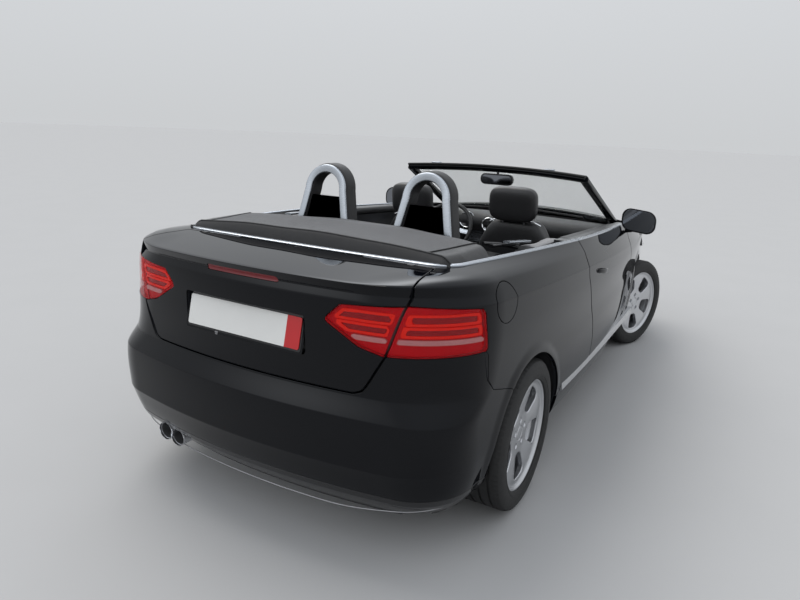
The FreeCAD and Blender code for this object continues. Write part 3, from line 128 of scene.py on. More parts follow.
BONNET_EDGE = 22.0
BONNET_NOSE_HALF = 560.0
BONNET_FOOT_Z = 708.0
BONNET_REAR_X = FRONT_AXLE_X - 121.0
BONNET_REAR_R = 2910.0
GRILLE = ((-330, 700), (-270, 330), (270, 330), (330, 700))
INTAKE = ((-430, 420), (-660, 400), (-640, 300), (-400, 300))
# Gap of the lamps, the grille and the bumper to the panels round them
JOINT = 0.6


class Patch:
    """A sheet of faces with a normal at each vertex; normals may be None for flat-shaded pieces."""

    def __init__(self, verts, normals, faces, material=0):
        self.verts = np.asarray(verts, float).reshape(-1, 3)
        self.normals = None if normals is None else np.asarray(normals, float).reshape(-1, 3)
        self.faces = [tuple(f) for f in faces]
        self.material = material

    def mirrored(self):
        normals = None if self.normals is None else self.normals * FLIP
        return Patch(self.verts * FLIP, normals, [tuple(reversed(f)) for f in self.faces], self.material)

    def painted(self, material):
        return Patch(self.verts, self.normals, self.faces, material)


def unit(v):
    return v / np.maximum(np.linalg.norm(v, axis=-1, keepdims=True), 1e-9)


def smoothstep(x, low, high):
    t = np.clip((x - low) / (high - low), 0.0, 1.0)
    return t * t * (3 - 2 * t)


def hermite(u):
    """Weights of a cubic span: its start, the slope there, its end and the slope there."""
    return 2 * u ** 3 - 3 * u ** 2 + 1, u ** 3 - 2 * u ** 2 + u, -2 * u ** 3 + 3 * u ** 2, u ** 3 - u ** 2


def smooth_through(xs, ys, x):
    """Smooth curve through a few points, level or monotone between them as the points are."""
    xs, ys = np.asarray(xs, float), np.asarray(ys, float)
    slope = np.diff(ys) / np.diff(xs)
    before, after = slope[:-1], slope[1:]
    mean = 2 * before * after / np.where(before + after == 0, 1, before + after)
    tangent = np.concatenate([slope[:1], np.where(before * after > 0, mean, 0), slope[-1:]])
    k = np.clip(np.searchsorted(xs, x) - 1, 0, len(xs) - 2)
    step = xs[k + 1] - xs[k]
    h = hermite(np.clip((x - xs[k]) / step, 0, 1))
    return h[0] * ys[k] + h[1] * step * tangent[k] + h[2] * ys[k + 1] + h[3] * step * tangent[k + 1]


def height(name, x):
    line = LINES[name]
    nose = np.maximum(0.0, x - DROOP_START_X) / 1000.0
    tail = np.maximum(0.0, -x - DROOP_START_X) / 1000.0
    return line.z - line.fall * x - line.nose_droop * nose ** 2 - line.tail_droop * tail ** 2


def corner_arcs(end_x, end_r, corner_r, side_r, half, sign):
    """Arc centres of an end, its corner and its right side, and where the corner meets the other two."""
    end = np.array([end_x - sign * end_r, 0.0])
    side = np.array([WIDEST_X, side_r - half])
    across = side - end
    gap = np.linalg.norm(across)
    end_reach, side_reach = end_r - corner_r, side_r - corner_r
    along = (end_reach * end_reach - side_reach * side_reach + gap * gap) / (2 * gap)
    off = math.sqrt(end_reach * end_reach - along * along)
    ahead = across / gap
    square = np.array([-ahead[1], ahead[0]])
    either = [end + ahead * along + square * k * off for k in (1, -1)]
    centre = max((c for c in either if c[1] < 0), key=lambda c: sign * c[0])
    return end, centre, side, end + unit(centre - end) * end_r, side + unit(centre - side) * side_r


def arc_points(centre, start, stop, share):
    first = math.atan2(*(start - centre)[::-1])
    sweep = math.atan2(*(stop - centre)[::-1]) - first
    sweep = math.atan2(math.sin(sweep), math.cos(sweep))
    angle = first + sweep * share
    return centre + np.linalg.norm(start - centre) * np.stack([np.cos(angle), np.sin(angle)], -1)


def plan(name, s, inset=0.0):
    """Right-hand outline of one waterline at stations s, from 0 at the tail's middle to 6 at the nose's."""
    line = LINES[name]
    half = SIDE_Y - line.side_in - inset
    tail_x = TAIL_X + line.tail_in + inset
    nose_x = NOSE_X - line.nose_in - inset
    end, turn, side, at_end, at_side = corner_arcs(
        tail_x, line.tail_r - inset, line.tail_corner_r - inset, line.side_r_back - inset, half, -1)
    front, f_turn, f_side, at_front, at_f_side = corner_arcs(
        nose_x, line.nose_r - inset, line.nose_corner_r - inset, line.side_r_front - inset, half, 1)
    wide = np.array([WIDEST_X, -half])
    runs = ((end, np.array([tail_x, 0.0]), at_end), (turn, at_end, at_side), (side, at_side, wide),
            (f_side, wide, at_f_side), (f_turn, at_f_side, at_front),
            (front, at_front, np.array([nose_x, 0.0])))
    points = np.zeros((len(s), 2))
    which = np.clip(s.astype(int), 0, 5)
    for k, (centre, start, stop) in enumerate(runs):
        chosen = which == k
        if chosen.any():
            points[chosen] = arc_points(centre, start, stop, (s[chosen] - k))
    return points


def surface(s, t):
    """Grid of body points at stations s and levels t (0 is the lowest waterline), with outward normals."""
    s = np.asarray(s, float)
    t = np.asarray(t, float)
    knots = []
    for name in NAMES:
        points = plan(name, s)
        z = height(name, points[:, 0])
        knots.append(np.column_stack([points, z]))
    knots = np.array(knots)
    at_tail = 1 - smoothstep(s, 1.0, 1.9)
    sharp = np.array([line.tail_crease * at_tail + line.side_crease * (1 - at_tail)
                      * (1 - smoothstep(s, 4.2, 5.2))
                      for line in LINES.values()])[:, :, None]
    step = np.linalg.norm(np.diff(knots, axis=0), axis=2)[:, :, None]
    slope = np.diff(knots, axis=0) / step
    middle = (slope[:-1] * step[1:] + slope[1:] * step[:-1]) / (step[1:] + step[:-1])
    above = np.concatenate([slope[:1], middle * (1 - sharp[1:-1]) + slope[1:] * sharp[1:-1]])
    below = np.concatenate([middle * (1 - sharp[1:-1]) + slope[:-1] * sharp[1:-1], slope[-1:]])
    rows = []
    for value in t:
        k = min(int(value), len(NAMES) - 2)
        h = hermite(value - k)
        rows.append(h[0] * knots[k] + h[1] * step[k] * above[k] + h[2] * knots[k + 1] + h[3] * step[k]
                    * below[k])
    grid = np.array(rows)
    for end, axle_x in (("rear", REAR_AXLE_X), ("front", FRONT_AXLE_X)):
        reach = np.hypot(grid[..., 0] - axle_x, grid[..., 2] - AXLE_Z) - ARCH_R[end]
        flare = 7.0 * (1 - smoothstep(reach, 4, 52)) * (grid[..., 1] < -600) * (grid[..., 2] > 180)
        grid[..., 1] -= flare
    return grid, grid_normals(grid)


def grid_normals(grid):
    return unit(np.cross(np.gradient(grid, axis=1), np.gradient(grid, axis=0)))


def spread(start, stop, cells):
    return np.linspace(start, stop, max(2, int(round(cells)) + 1))


def stations(s0, s1, fine=1.0):
    """Stations from s0 to s1 with each arc's own spacing."""
    runs = []
    for k, cells in enumerate(ARC_CELLS):
        low, high = max(s0, k), min(s1, k + 1)
        if high > low:
            runs.append(spread(low, high, cells * (high - low) * fine))
    return np.unique(np.round(np.concatenate(runs), 9))


def levels(low, high, fine=1.0):
    """Levels between two named waterlines, close together beside each so that creases stay tight."""
    a, b = NAMES.index(low), NAMES.index(high)
    values = []
    for k in range(a, b):
        span = LINES[NAMES[k + 1]].z - LINES[NAMES[k]].z
        values.extend(k + spread(0, 1, max(3, span * fine / CELL)))
        near = min(0.2, 3.5 / span)
        values.extend([k + near, k + 1 - near])
    return np.unique(np.round(values, 9))


def row_faces(rows, columns, closed=True):
    """Four-sided faces between successive rows of points; a closed row joins its end to its start."""
    faces = []
    for i in range(rows - 1):
        for j in range(columns if closed else columns - 1):
            k = (j + 1) % columns
            faces.append((i * columns + j, i * columns + k, (i + 1) * columns + k, (i + 1) * columns + j))
    return faces


def grid_patch(grid, normals):
    return Patch(grid, normals, row_faces(*grid.shape[:2], closed=False))


def both_halves(grid, normals, at_tail):
    """Join a right-hand grid and its mirror at the tail's or nose's middle."""
    other, other_n = grid[:, ::-1] * FLIP, normals[:, ::-1] * FLIP
    seam = 0 if at_tail else -1
    normals = normals.copy()
    normals[:, seam, 1] = 0
    normals[:, seam] = unit(normals[:, seam])
    if at_tail:
        return np.concatenate([other[:, :-1], grid], 1), np.concatenate([other_n[:, :-1], normals], 1)
    return np.concatenate([grid, other[:, 1:]], 1), np.concatenate([normals, other_n[:, 1:]], 1)


def body_patch(s0, s1, low, high, fine=1.0, whole=None):
    """Patch of the body; whole is "tail" or "nose" where it runs across the middle."""
    grid, normals = surface(stations(s0, s1, fine), levels(low, high, fine))
    if whole:
        grid, normals = both_halves(grid, normals, whole == "tail")
    return grid_patch(grid, normals)


def clip(patch, keep):
    """The part of a patch where keep is negative; keep takes points and gives signed distances."""
    values = keep(patch.verts)
    values = np.where(np.abs(values) < 1e-6, -1e-6, values)
    inside = values < 0
    verts, normals = list(patch.verts), list(patch.normals)
    made = {}

    def crossing(i, j):
        key = (min(i, j), max(i, j))
        if key not in made:
            a, b = key
            low, high, at_low, at_high = 0.0, 1.0, values[a], values[b]
            for _ in range(3):
                share = low + (high - low) * at_low / (at_low - at_high)
                point = patch.verts[a] * (1 - share) + patch.verts[b] * share
                value = keep(point[None])[0]
                if (value < 0) == (at_low < 0):
                    low, at_low = share, value
                else:
                    high, at_high = share, value
                if abs(value) < 1e-3:
                    break
            made[key] = len(verts)
            verts.append(point)
            normals.append(unit(patch.normals[a] * (1 - share) + patch.normals[b] * share))
        return made[key]

    faces = []
    for face in patch.faces:
        state = [inside[i] for i in face]
        if all(state):
            faces.append(face)
        elif any(state):
            ring = []
            for k, i in enumerate(face):
                j = face[(k + 1) % len(face)]
                if inside[i]:
                    ring.append(i)
                if inside[i] != inside[j]:
                    ring.append(crossing(i, j))
            if len(ring) > 2:
                faces.append(tuple(ring))
    return tidy(Patch(verts, normals, faces, patch.material))


def tidy(patch):
    """Drop unused vertices."""
    used = sorted({i for f in patch.faces for i in f})
    index = {v: k for k, v in enumerate(used)}
    normals = None if patch.normals is None else patch.normals[used]
    return Patch(patch.verts[used], normals, [tuple(index[i] for i in f) for f in patch.faces],
                 patch.material)


def boundary(patch, shortest=0.7):
    """Closed loops of boundary vertices, after welding those that lie closer than the shortest edge."""
    for _ in range(3):
        directed = {(f[k], f[(k + 1) % len(f)]) for f in patch.faces for k in range(len(f))}
        rim = {a: b for a, b in directed if (b, a) not in directed}
        weld = {}
        for a, b in rim.items():
            if a not in weld.values() and b not in weld and b not in weld.values() and a not in weld:
                if np.linalg.norm(patch.verts[a] - patch.verts[b]) < shortest:
                    weld[b] = a
        if not weld:
            break
        faces = []
        for f in patch.faces:
            ring = []
            for i in f:
                i = weld.get(i, i)
                if not ring or ring[-1] != i:
                    ring.append(i)
            if len(ring) > 1 and ring[0] == ring[-1]:
                ring.pop()
            if len(ring) > 2:
                faces.append(tuple(ring))
        patch.faces = faces
    loops = []
    while rim:
        start, here = next(iter(rim.items()))
        del rim[start]
        loop = [start]
        while here in rim:
            loop.append(here)
            here = rim.pop(here)
        if len(loop) > 2:
            loops.append(loop)
    return loops


def rolled(patch, radius=EDGE_R, depth=FLANGE, steps=3, thickness=None):
    """Add a rounded edge and a flange inwards all round; with a thickness, also the inner face."""
    loops = boundary(patch)
    verts, normals, faces = [patch.verts], [patch.normals], list(patch.faces)
    count = len(patch.verts)
    offset = count
    if thickness:
        verts.append(patch.verts - patch.normals * thickness)
        normals.append(-patch.normals)
        faces += [tuple(i + count for i in reversed(f)) for f in patch.faces]
        offset += count
    for loop in loops:
        points = patch.verts[loop]
        n = patch.normals[loop]
        ahead = np.roll(points, -1, 0) - points
        out = unit(np.cross(ahead, n))
        out = unit(out + np.roll(out, 1, 0))
        out = unit(out - n * (out * n).sum(1, keepdims=True))
        rings = [np.array(loop)]
        size = len(loop)
        for k in range(1, steps + 1):
            angle = math.pi / 2 * k / steps
            verts.append(points + out * radius * math.sin(angle) - n * radius * (1 - math.cos(angle)))
            normals.append(n * math.cos(angle) + out * math.sin(angle))
            rings.append(offset + np.arange(size))
            offset += size
        verts.append(points + out * radius - n * (radius + depth))
        normals.append(out)
        rings.append(offset + np.arange(size))
        offset += size
        if thickness:
            rings.append(np.array(loop) + count)
        for a, b in zip(rings, rings[1:]):
            for k in range(size):
                j = (k + 1) % size
                faces.append((a[j], a[k], b[k], b[j]))
    return Patch(np.concatenate(verts), np.concatenate(normals), faces, patch.material)


def filleted(points, radius, steps=5):
    """Polygon with its corners rounded."""
    points = [np.array(p, float) for p in points]
    result = []
    for k, p in enumerate(points):
        a = unit(points[k - 1] - p)
        b = unit(points[(k + 1) % len(points)] - p)
        half = math.acos(max(-1.0, min(1.0, float(a @ b)))) / 2
        room = min(np.linalg.norm(points[k - 1] - p),
                   np.linalg.norm(points[(k + 1) % len(points)] - p)) * 0.45
        reach = min(radius / math.tan(half), room) if half < 1.5 else 0.0
        if reach < 0.5:
            result.append(p)
            continue
        start, stop = p + a * reach, p + b * reach
        for i in range(steps + 1):
            u = i / steps
            result.append((1 - u) ** 2 * start + 2 * u * (1 - u) * p + u * u * stop)
    return np.array(result)


def polygon(points, axes="xz", radius=0.0, mirror_y=False):
    """Signed distance to a polygon seen along one axis, negative inside."""
    i, j = ("xyz".index(c) for c in axes)
    ring = filleted(points, radius) if radius else np.array(points, float)
    nxt = np.roll(ring, -1, 0)
    edge = nxt - ring
    square = (edge ** 2).sum(1)

    def distance(p):
        q = p[:, (i, j)].copy()
        if mirror_y:
            q[:, 0 if axes[0] == "y" else 1] = -np.abs(q[:, 0 if axes[0] == "y" else 1])
        w = q[:, None] - ring[None]
        share = np.clip((w * edge).sum(2) / square, 0, 1)
        near = np.linalg.norm(w - share[..., None] * edge, axis=2).min(1)
        above = (ring[None, :, 1] > q[:, None, 1]) != (nxt[None, :, 1] > q[:, None, 1])
        with np.errstate(divide="ignore", invalid="ignore"):
            climb = (q[:, None, 1] - ring[None, :, 1]) * edge[None, :, 0] / edge[None, :, 1]
            cross = ring[None, :, 0] + climb
        inside = (above & (q[:, None, 0] < cross)).sum(1) % 2 == 1
        return np.where(inside, -near, near)
    return distance


def beyond(axis, limit, sign=1):
    """Keeps what lies past a limit along one axis; sign -1 keeps what lies before it."""
    k = "xyz".index(axis)
    return lambda p: (limit - p[:, k]) * sign


def outside(shape, gap=0.0):
    return lambda p: gap - shape(p)


def inside(shape, gap=0.0):
    return lambda p: shape(p) + gap


def near_height(z, half):
    """Keeps a level band about a height."""
    return lambda p: np.abs(p[:, 2] - z) - half


def overlap(*rules):
    """Keeps what every rule keeps."""
    return lambda p: np.maximum.reduce([rule(p) for rule in rules])


def arch(end):
    axle_x = REAR_AXLE_X if end == "rear" else FRONT_AXLE_X
    return lambda p: np.hypot(p[:, 0] - axle_x, p[:, 2] - AXLE_Z) - ARCH_R[end]


LID_VIEW = [(-y, z) for y, z in LID_OUTLINE] + [(y, z) for y, z in reversed(LID_OUTLINE)]
LID_SHAPE = polygon(LID_VIEW, "yz", 22)


def lid(p):
    """Signed distance to the boot lid's outline, which tapers towards the front of the deck."""
    share = (p[:, 0] - TAIL_X + 50) / (LID_FRONT_X - TAIL_X + 50)
    side = np.abs(p[:, 1]) - (LID_REAR_HALF + (LID_FRONT_HALF - LID_REAR_HALF) * share)
    return np.maximum(np.maximum(LID_SHAPE(p), side), p[:, 0] - LID_FRONT_X)


def lamp_top(x):
    return LAMP_TOP_Z - LAMP_TOP_FALL * (x - FRONT_LAMP_X)


def mesh_object(name, patches, materials, replaces=(), body="car_body", sharp=40):
    """Join patches into one object that rides on a body."""
    verts, faces, loops, index, count = [], [], [], [], 0
    for patch in patches:
        verts.append(patch.verts * MM)
        for f in patch.faces:
            faces.append([i + count for i in f])
            index.append(patch.material)
            if patch.normals is None:
                loops.extend([(0.0, 0.0, 0.0)] * len(f))
            else:
                loops.extend(patch.normals[list(f)])
        count += len(patch.verts)
    mesh = bpy.data.meshes.new(name)
    mesh.from_pydata(np.concatenate(verts), [], faces)
    mesh.polygons.foreach_set("use_smooth", [True] * len(mesh.polygons))
    mesh.polygons.foreach_set("material_index", index)
    for material in materials:
        mesh.materials.append(material)
    mesh.set_sharp_from_angle(angle=math.radians(sharp))
    mesh.normals_split_custom_set([tuple(n) for n in loops])
    mesh.validate()
    obj = bpy.data.objects.new(name, mesh)
    bpy.context.scene.collection.objects.link(obj)
    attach(obj, body)
    if replaces:
        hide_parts(*replaces)
    return obj


# Building blocks for swept, turned and flat pieces
def ring_loft(rings, material=0, cap=True, closed=True):
    """Faces between successive rings of points; rings are closed loops unless told otherwise."""
    size = len(rings[0])
    faces = row_faces(len(rings), size, closed)
    if cap and closed:
        faces.append(tuple(reversed(range(size))))
        faces.append(tuple((len(rings) - 1) * size + i for i in range(size)))
    return Patch(np.concatenate(rings), None, faces, material)


def sweep(path, section, side, material=0, cap=True):
    """Carry a section (across, up) along a path; side gives the across direction at each point."""
    path, side = np.asarray(path, float), np.asarray(side, float)
    if side.ndim == 1:
        side = np.repeat(side[None], len(path), 0)
    ahead = unit(np.gradient(path, axis=0))
    across = unit(side - ahead * (side * ahead).sum(1, keepdims=True))
    upward = np.cross(ahead, across)
    section = np.asarray(section, float)
    rings = [p + section[:, :1] * a + section[:, 1:] * u for p, a, u in zip(path, across, upward)]
    return ring_loft(rings, material, cap)


def circle(radius, count=12, flat=1.0):
    angle = np.arange(count) * 2 * math.pi / count
    return np.stack([radius * np.cos(angle), radius * flat * np.sin(angle)], -1)


def rounded_rectangle(width, tall, radius, steps=4):
    x, y = width / 2 - radius, tall / 2 - radius
    points = []
    for k, (cx, cy) in enumerate(((x, y), (-x, y), (-x, -y), (x, -y))):
        for i in range(steps + 1):
            angle = math.pi / 2 * (k + i / steps)
            points.append((cx + radius * math.cos(angle), cy + radius * math.sin(angle)))
    return np.array(points)


def turned(profile, axis_point, axis, count=64, material=0):
    """Turn a profile of (radius, along) about an axis."""
    axis = unit(np.array(axis, float))
    a = unit(np.cross(axis, (0.0, 0.0, 1.0) if abs(axis[2]) < 0.9 else (1.0, 0.0, 0.0)))
    b = np.cross(axis, a)
    rings = []
    for k in range(count):
        angle = 2 * math.pi * k / count
        out = a * math.cos(angle) + b * math.sin(angle)
        rings.append([np.array(axis_point) + out * r + axis * h for r, h in profile])
    size = len(profile)
    faces = []
    for k in range(count):
        n = (k + 1) % count
        for i in range(size - 1):
            faces.append((k * size + i, k * size + i + 1, n * size + i + 1, n * size + i))
    return Patch(np.concatenate(rings), None, faces, material)


def placed(patch, origin, x_axis, y_axis, z_axis):
    """Move a patch from local axes to the car's."""
    basis = np.array([x_axis, y_axis, z_axis], float)
    normals = None if patch.normals is None else patch.normals @ basis
    return Patch(patch.verts @ basis + np.array(origin, float), normals, patch.faces, patch.material)


def flat_piece(ring, thickness, radius=1.0, material=0):
    """A flat piece with a rounded rim: outline in local x and y, face towards +z."""
    ring = np.asarray(ring, float)
    n = len(ring)
    verts = np.column_stack([ring, np.zeros(n)])
    patch = Patch(verts, np.tile((0.0, 0.0, 1.0), (n, 1)), [tuple(range(n))], material)
    return rolled(patch, radius, thickness, 2)


def slab(size, corner_r, thickness, edge_r, origin, axes, material=0, steps=4):
    """Flat piece with rounded corners, set at a point along its own axes."""
    ring = rounded_rectangle(*size, corner_r, steps)
    return placed(flat_piece(ring, thickness, edge_r, material), origin, *axes)


def shifted(patch, distance):
    """Copy of a patch moved inwards along its normals."""
    return Patch(patch.verts - patch.normals * distance, patch.normals, patch.faces, patch.material)


def inlay(sheet, distance, rule, radius, depth):
    """Slab with rounded edges, cut from a sheet by a rule and set behind it."""
    return rolled(clip(shifted(sheet, distance), rule), radius, depth)


def joined(*patches):
    """One patch from several whose edges meet, with the meeting points merged."""
    verts = np.concatenate([p.verts for p in patches])
    normals = np.concatenate([p.normals for p in patches])
    key, first, faces, count = {}, [], [], 0
    for i, v in enumerate(np.round(verts, 3)):
        first.append(key.setdefault(tuple(v), i))
    for p in patches:
        faces += [tuple(first[i + count] for i in f) for f in p.faces]
        count += len(p.verts)
    return tidy(Patch(verts, normals, faces, patches[0].material))


def upright(grid):
    """Patch of a grid, its order turned over where the normals would point down."""
    if grid_normals(grid)[..., 2].mean() < 0:
        grid = grid[:, ::-1]
    return grid_patch(grid, grid_normals(grid))


def height_field(xs, shares, height_of, half_of):
    """Sheet over a plan whose half width changes along x."""
    grid = []
    for x in xs:
        y = -shares * half_of(x)
        grid.append(np.column_stack([np.full(len(y), x), y, height_of(x, y)]))
    return upright(np.array(grid))


def ordered(ring):
    """Points of a ring in order round their middle."""
    around = ring - ring.mean(0)
    return ring[np.argsort(np.arctan2(around[:, 1], around[:, 0]))]


def outward_of(path):
    ahead = unit(np.gradient(path, axis=0))
    return np.cross(ahead, np.tile(FORWARD, (len(path), 1)))


# Finishes


def link(tree, source, target):
    tree.links.new(source, target)


def noise(tree, coords, scale, detail=3.0, stretch=None):
    """Noise texture output, optionally stretched along the axes."""
    if stretch:
        mapping = tree.nodes.new("ShaderNodeMapping")
        mapping.inputs["Scale"].default_value = stretch
        link(tree, coords, mapping.inputs["Vector"])
        coords = mapping.outputs["Vector"]
    texture = tree.nodes.new("ShaderNodeTexNoise")
    texture.inputs["Scale"].default_value = scale
    texture.inputs["Detail"].default_value = detail
    link(tree, coords, texture.inputs["Vector"])
    return texture.outputs["Fac"]


def remap(tree, value, low, high):
    node = tree.nodes.new("ShaderNodeMapRange")
    node.inputs["To Min"].default_value = low
    node.inputs["To Max"].default_value = high
    link(tree, value, node.inputs["Value"])
    return node.outputs["Result"]


def weave(tree, coords, pitch):
    """Plain weave: two crossing wave textures multiplied."""
    outs = []
    for axis in ("X", "Y"):
        wave = tree.nodes.new("ShaderNodeTexWave")
        wave.bands_direction = axis
        wave.inputs["Scale"].default_value = math.pi / (10.0 * pitch)
        wave.inputs["Distortion"].default_value = 0.4
        link(tree, coords, wave.inputs["Vector"])
        outs.append(wave.outputs["Fac"])
    product = tree.nodes.new("ShaderNodeMath")
    product.operation = "MULTIPLY"
    link(tree, outs[0], product.inputs[0])
    link(tree, outs[1], product.inputs[1])
    return product.outputs["Value"]


def cells(tree, coords, scale):
    texture = tree.nodes.new("ShaderNodeTexVoronoi")
    texture.feature = "DISTANCE_TO_EDGE"
    texture.inputs["Scale"].default_value = scale
    link(tree, coords, texture.inputs["Vector"])
    return texture.outputs["Distance"]


def material(name, colour, roughness=0.5, metallic=0.0, vary=0.1, scale=40.0, spread_rough=0.05,
             bumps=(), stretch=None, sockets=None):
    """Finish whose colour and roughness vary with noise; bumps are (kind, scale, strength, distance)."""
    made = bpy.data.materials.new(name)
    made.use_nodes = True
    tree = made.node_tree
    shader = tree.nodes["Principled BSDF"]
    coords = tree.nodes.new("ShaderNodeTexCoord").outputs["Object"]
    field = noise(tree, coords, scale, 4.0, stretch)
    ramp = tree.nodes.new("ShaderNodeMix")
    ramp.data_type = "RGBA"
    ramp.inputs["A"].default_value = (*[c * (1 - vary) for c in colour], 1)
    ramp.inputs["B"].default_value = (*[min(1.0, c * (1 + vary)) for c in colour], 1)
    link(tree, field, ramp.inputs["Factor"])
    link(tree, ramp.outputs["Result"], shader.inputs["Base Color"])
    rough = noise(tree, coords, scale * 2.3, 3.0, stretch)
    link(tree, remap(tree, rough, max(0.0, roughness - spread_rough), min(1.0, roughness + spread_rough)),
         shader.inputs["Roughness"])
    shader.inputs["Metallic"].default_value = metallic
    normal = None
    for kind, size, strength, distance in bumps:
        if kind == "weave":
            value = weave(tree, coords, size)
        elif kind == "cells":
            value = cells(tree, coords, size)
        else:
            value = noise(tree, coords, size, 3.0, stretch if kind == "brushed" else None)
        bump = tree.nodes.new("ShaderNodeBump")
        bump.inputs["Strength"].default_value = strength
        bump.inputs["Distance"].default_value = distance
        link(tree, value, bump.inputs["Height"])
        if normal:
            link(tree, normal, bump.inputs["Normal"])
        normal = bump.outputs["Normal"]
    if normal:
        link(tree, normal, shader.inputs["Normal"])
    for key, value in (sockets or {}).items():
        shader.inputs[key].default_value = value
    return made


PAINT = material("black_lacquer", (0.002, 0.0025, 0.004), 0.25, 0.0, 0.15, 3.0, 0.05,
                 sockets={"Coat Weight": 1.0, "Coat Roughness": 0.02, "Coat IOR": 1.3,
                          "Specular IOR Level": 0.0})
PAINT_INNER = material("inner_lacquer", (0.012, 0.013, 0.016), 0.35, 0.0, 0.2, 9.0, 0.08,
                       bumps=[("noise", 400.0, 0.1, 0.0004)],
                       sockets={"Coat Weight": 0.4, "Coat Roughness": 0.2})
PLASTIC = material("grained_plastic", (0.018, 0.018, 0.019), 0.55, 0.0, 0.15, 30.0, 0.06,
                   bumps=[("cells", 900.0, 0.25, 0.0003)])
GLOSS_PLASTIC = material("gloss_plastic", (0.01, 0.01, 0.011), 0.16, 0.0, 0.1, 12.0, 0.03)
RUBBER = material("rubber", (0.012, 0.012, 0.012), 0.7, 0.0, 0.2, 60.0, 0.08,
                  bumps=[("noise", 500.0, 0.15, 0.0003)])
ALUMINIUM = material("satin_aluminium", (0.46, 0.49, 0.53), 0.26, 1.0, 0.04, 90.0, 0.06,
                     bumps=[("brushed", 1400.0, 0.03, 0.0001)], stretch=(0.03, 0.03, 1.0))
CHROME = material("chrome", (0.85, 0.86, 0.88), 0.08, 1.0, 0.03, 8.0, 0.03)
MIRROR = material("mirror_glass", (0.2, 0.21, 0.23), 0.04, 1.0, 0.03, 8.0, 0.02)
WHEEL = material("wheel_silver", (0.56, 0.57, 0.59), 0.3, 0.85, 0.06, 14.0, 0.05,
                 bumps=[("noise", 900.0, 0.03, 0.0002)],
                 sockets={"Coat Weight": 0.5, "Coat Roughness": 0.06})
TYRE = material("tyre_rubber", (0.016, 0.016, 0.016), 0.72, 0.0, 0.25, 25.0, 0.08,
                bumps=[("noise", 700.0, 0.2, 0.0003)])
GLASS = material("clear_glass", (0.92, 0.97, 0.95), 0.01, 0.0, 0.01, 4.0, 0.005,
                 sockets={"Transmission Weight": 1.0, "IOR": 1.1, "Alpha": 0.35})
LAMP_COVER = material("red_cover", (0.62, 0.004, 0.008), 0.05, 0.0, 0.08, 20.0, 0.02,
                      sockets={"Alpha": 0.34, "IOR": 1.3, "Coat Weight": 0.0})
LAMP_RED = material("lamp_red", (0.4, 0.003, 0.008), 0.25, 0.0, 0.15, 40.0, 0.05,
                    bumps=[("cells", 260.0, 0.3, 0.0008)], sockets={"Specular IOR Level": 0.2})
LAMP_GUIDE = material("lamp_light_guide", (0.9, 0.035, 0.015), 0.25, 0.0, 0.1, 60.0, 0.05,
                      sockets={"Specular IOR Level": 0.2})
LAMP_DARK = material("lamp_dark_module", (0.03, 0.001, 0.004), 0.2, 0.0, 0.3, 60.0, 0.05,
                     bumps=[("cells", 330.0, 0.4, 0.001)])
LAMP_DIM = material("lamp_unlit_red", (0.16, 0.004, 0.008), 0.22, 0.0, 0.15, 40.0, 0.05,
                    bumps=[("cells", 260.0, 0.3, 0.0008)])
LAMP_CLEAR = material("lamp_clear_strip", (0.42, 0.38, 0.38), 0.15, 0.3, 0.25, 90.0, 0.06,
                      bumps=[("cells", 420.0, 0.5, 0.001)])
HEAD_COVER = material("head_lamp_cover", (0.9, 0.93, 0.95), 0.02, 0.0, 0.02, 6.0, 0.01,
                      sockets={"Transmission Weight": 1.0, "IOR": 1.3, "Alpha": 0.4, "Coat Weight": 1.0})
HEAD_BEZEL = material("lamp_bezel", (0.1, 0.1, 0.105), 0.3, 0.6, 0.1, 30.0, 0.05,
                      bumps=[("cells", 240.0, 0.2, 0.0006)])
REFLECTOR = material("lamp_reflector", (0.8, 0.81, 0.83), 0.12, 1.0, 0.05, 50.0, 0.05,
                     bumps=[("cells", 90.0, 0.25, 0.002)])
LEATHER = material("black_leather", (0.017, 0.017, 0.018), 0.42, 0.0, 0.2, 18.0, 0.07,
                   bumps=[("cells", 520.0, 0.35, 0.0006), ("noise", 30.0, 0.12, 0.002)])
HOOD = material("hood_canvas", (0.045, 0.046, 0.05), 0.88, 0.0, 0.16, 14.0, 0.06,
                bumps=[("weave", 0.0016, 0.5, 0.0004), ("noise", 16.0, 0.12, 0.004)],
                sockets={"Sheen Weight": 0.25, "Sheen Roughness": 0.5})
HOOD_DARK = material("hood_binding", (0.012, 0.012, 0.013), 0.6, 0.0, 0.15, 30.0, 0.06,
                     bumps=[("weave", 0.0016, 0.35, 0.0003)])
CARPET = material("carpet", (0.02, 0.02, 0.021), 0.95, 0.0, 0.3, 200.0, 0.03,
                  bumps=[("noise", 900.0, 0.6, 0.002)])
TRIM_GREY = material("grey_trim", (0.2, 0.2, 0.205), 0.5, 0.0, 0.08, 20.0, 0.06,
                     bumps=[("cells", 700.0, 0.2, 0.0004)])
STEEL = material("steel", (0.32, 0.32, 0.33), 0.4, 0.9, 0.2, 30.0, 0.1,
                 bumps=[("noise", 200.0, 0.1, 0.0005)])
CAST = material("cast_iron", (0.12, 0.12, 0.12), 0.7, 0.6, 0.25, 40.0, 0.1,
                bumps=[("noise", 160.0, 0.35, 0.001)])
UNDER = material("underbody_sealer", (0.03, 0.03, 0.031), 0.85, 0.0, 0.2, 40.0, 0.06,
                 bumps=[("noise", 220.0, 0.4, 0.001)])
PLATE = material("plate_white", (0.72, 0.72, 0.7), 0.3, 0.0, 0.04, 12.0, 0.04,
                 bumps=[("cells", 400.0, 0.06, 0.0003)])
PLATE_RED = material("plate_red", (0.5, 0.012, 0.015), 0.3, 0.0, 0.06, 20.0, 0.04)

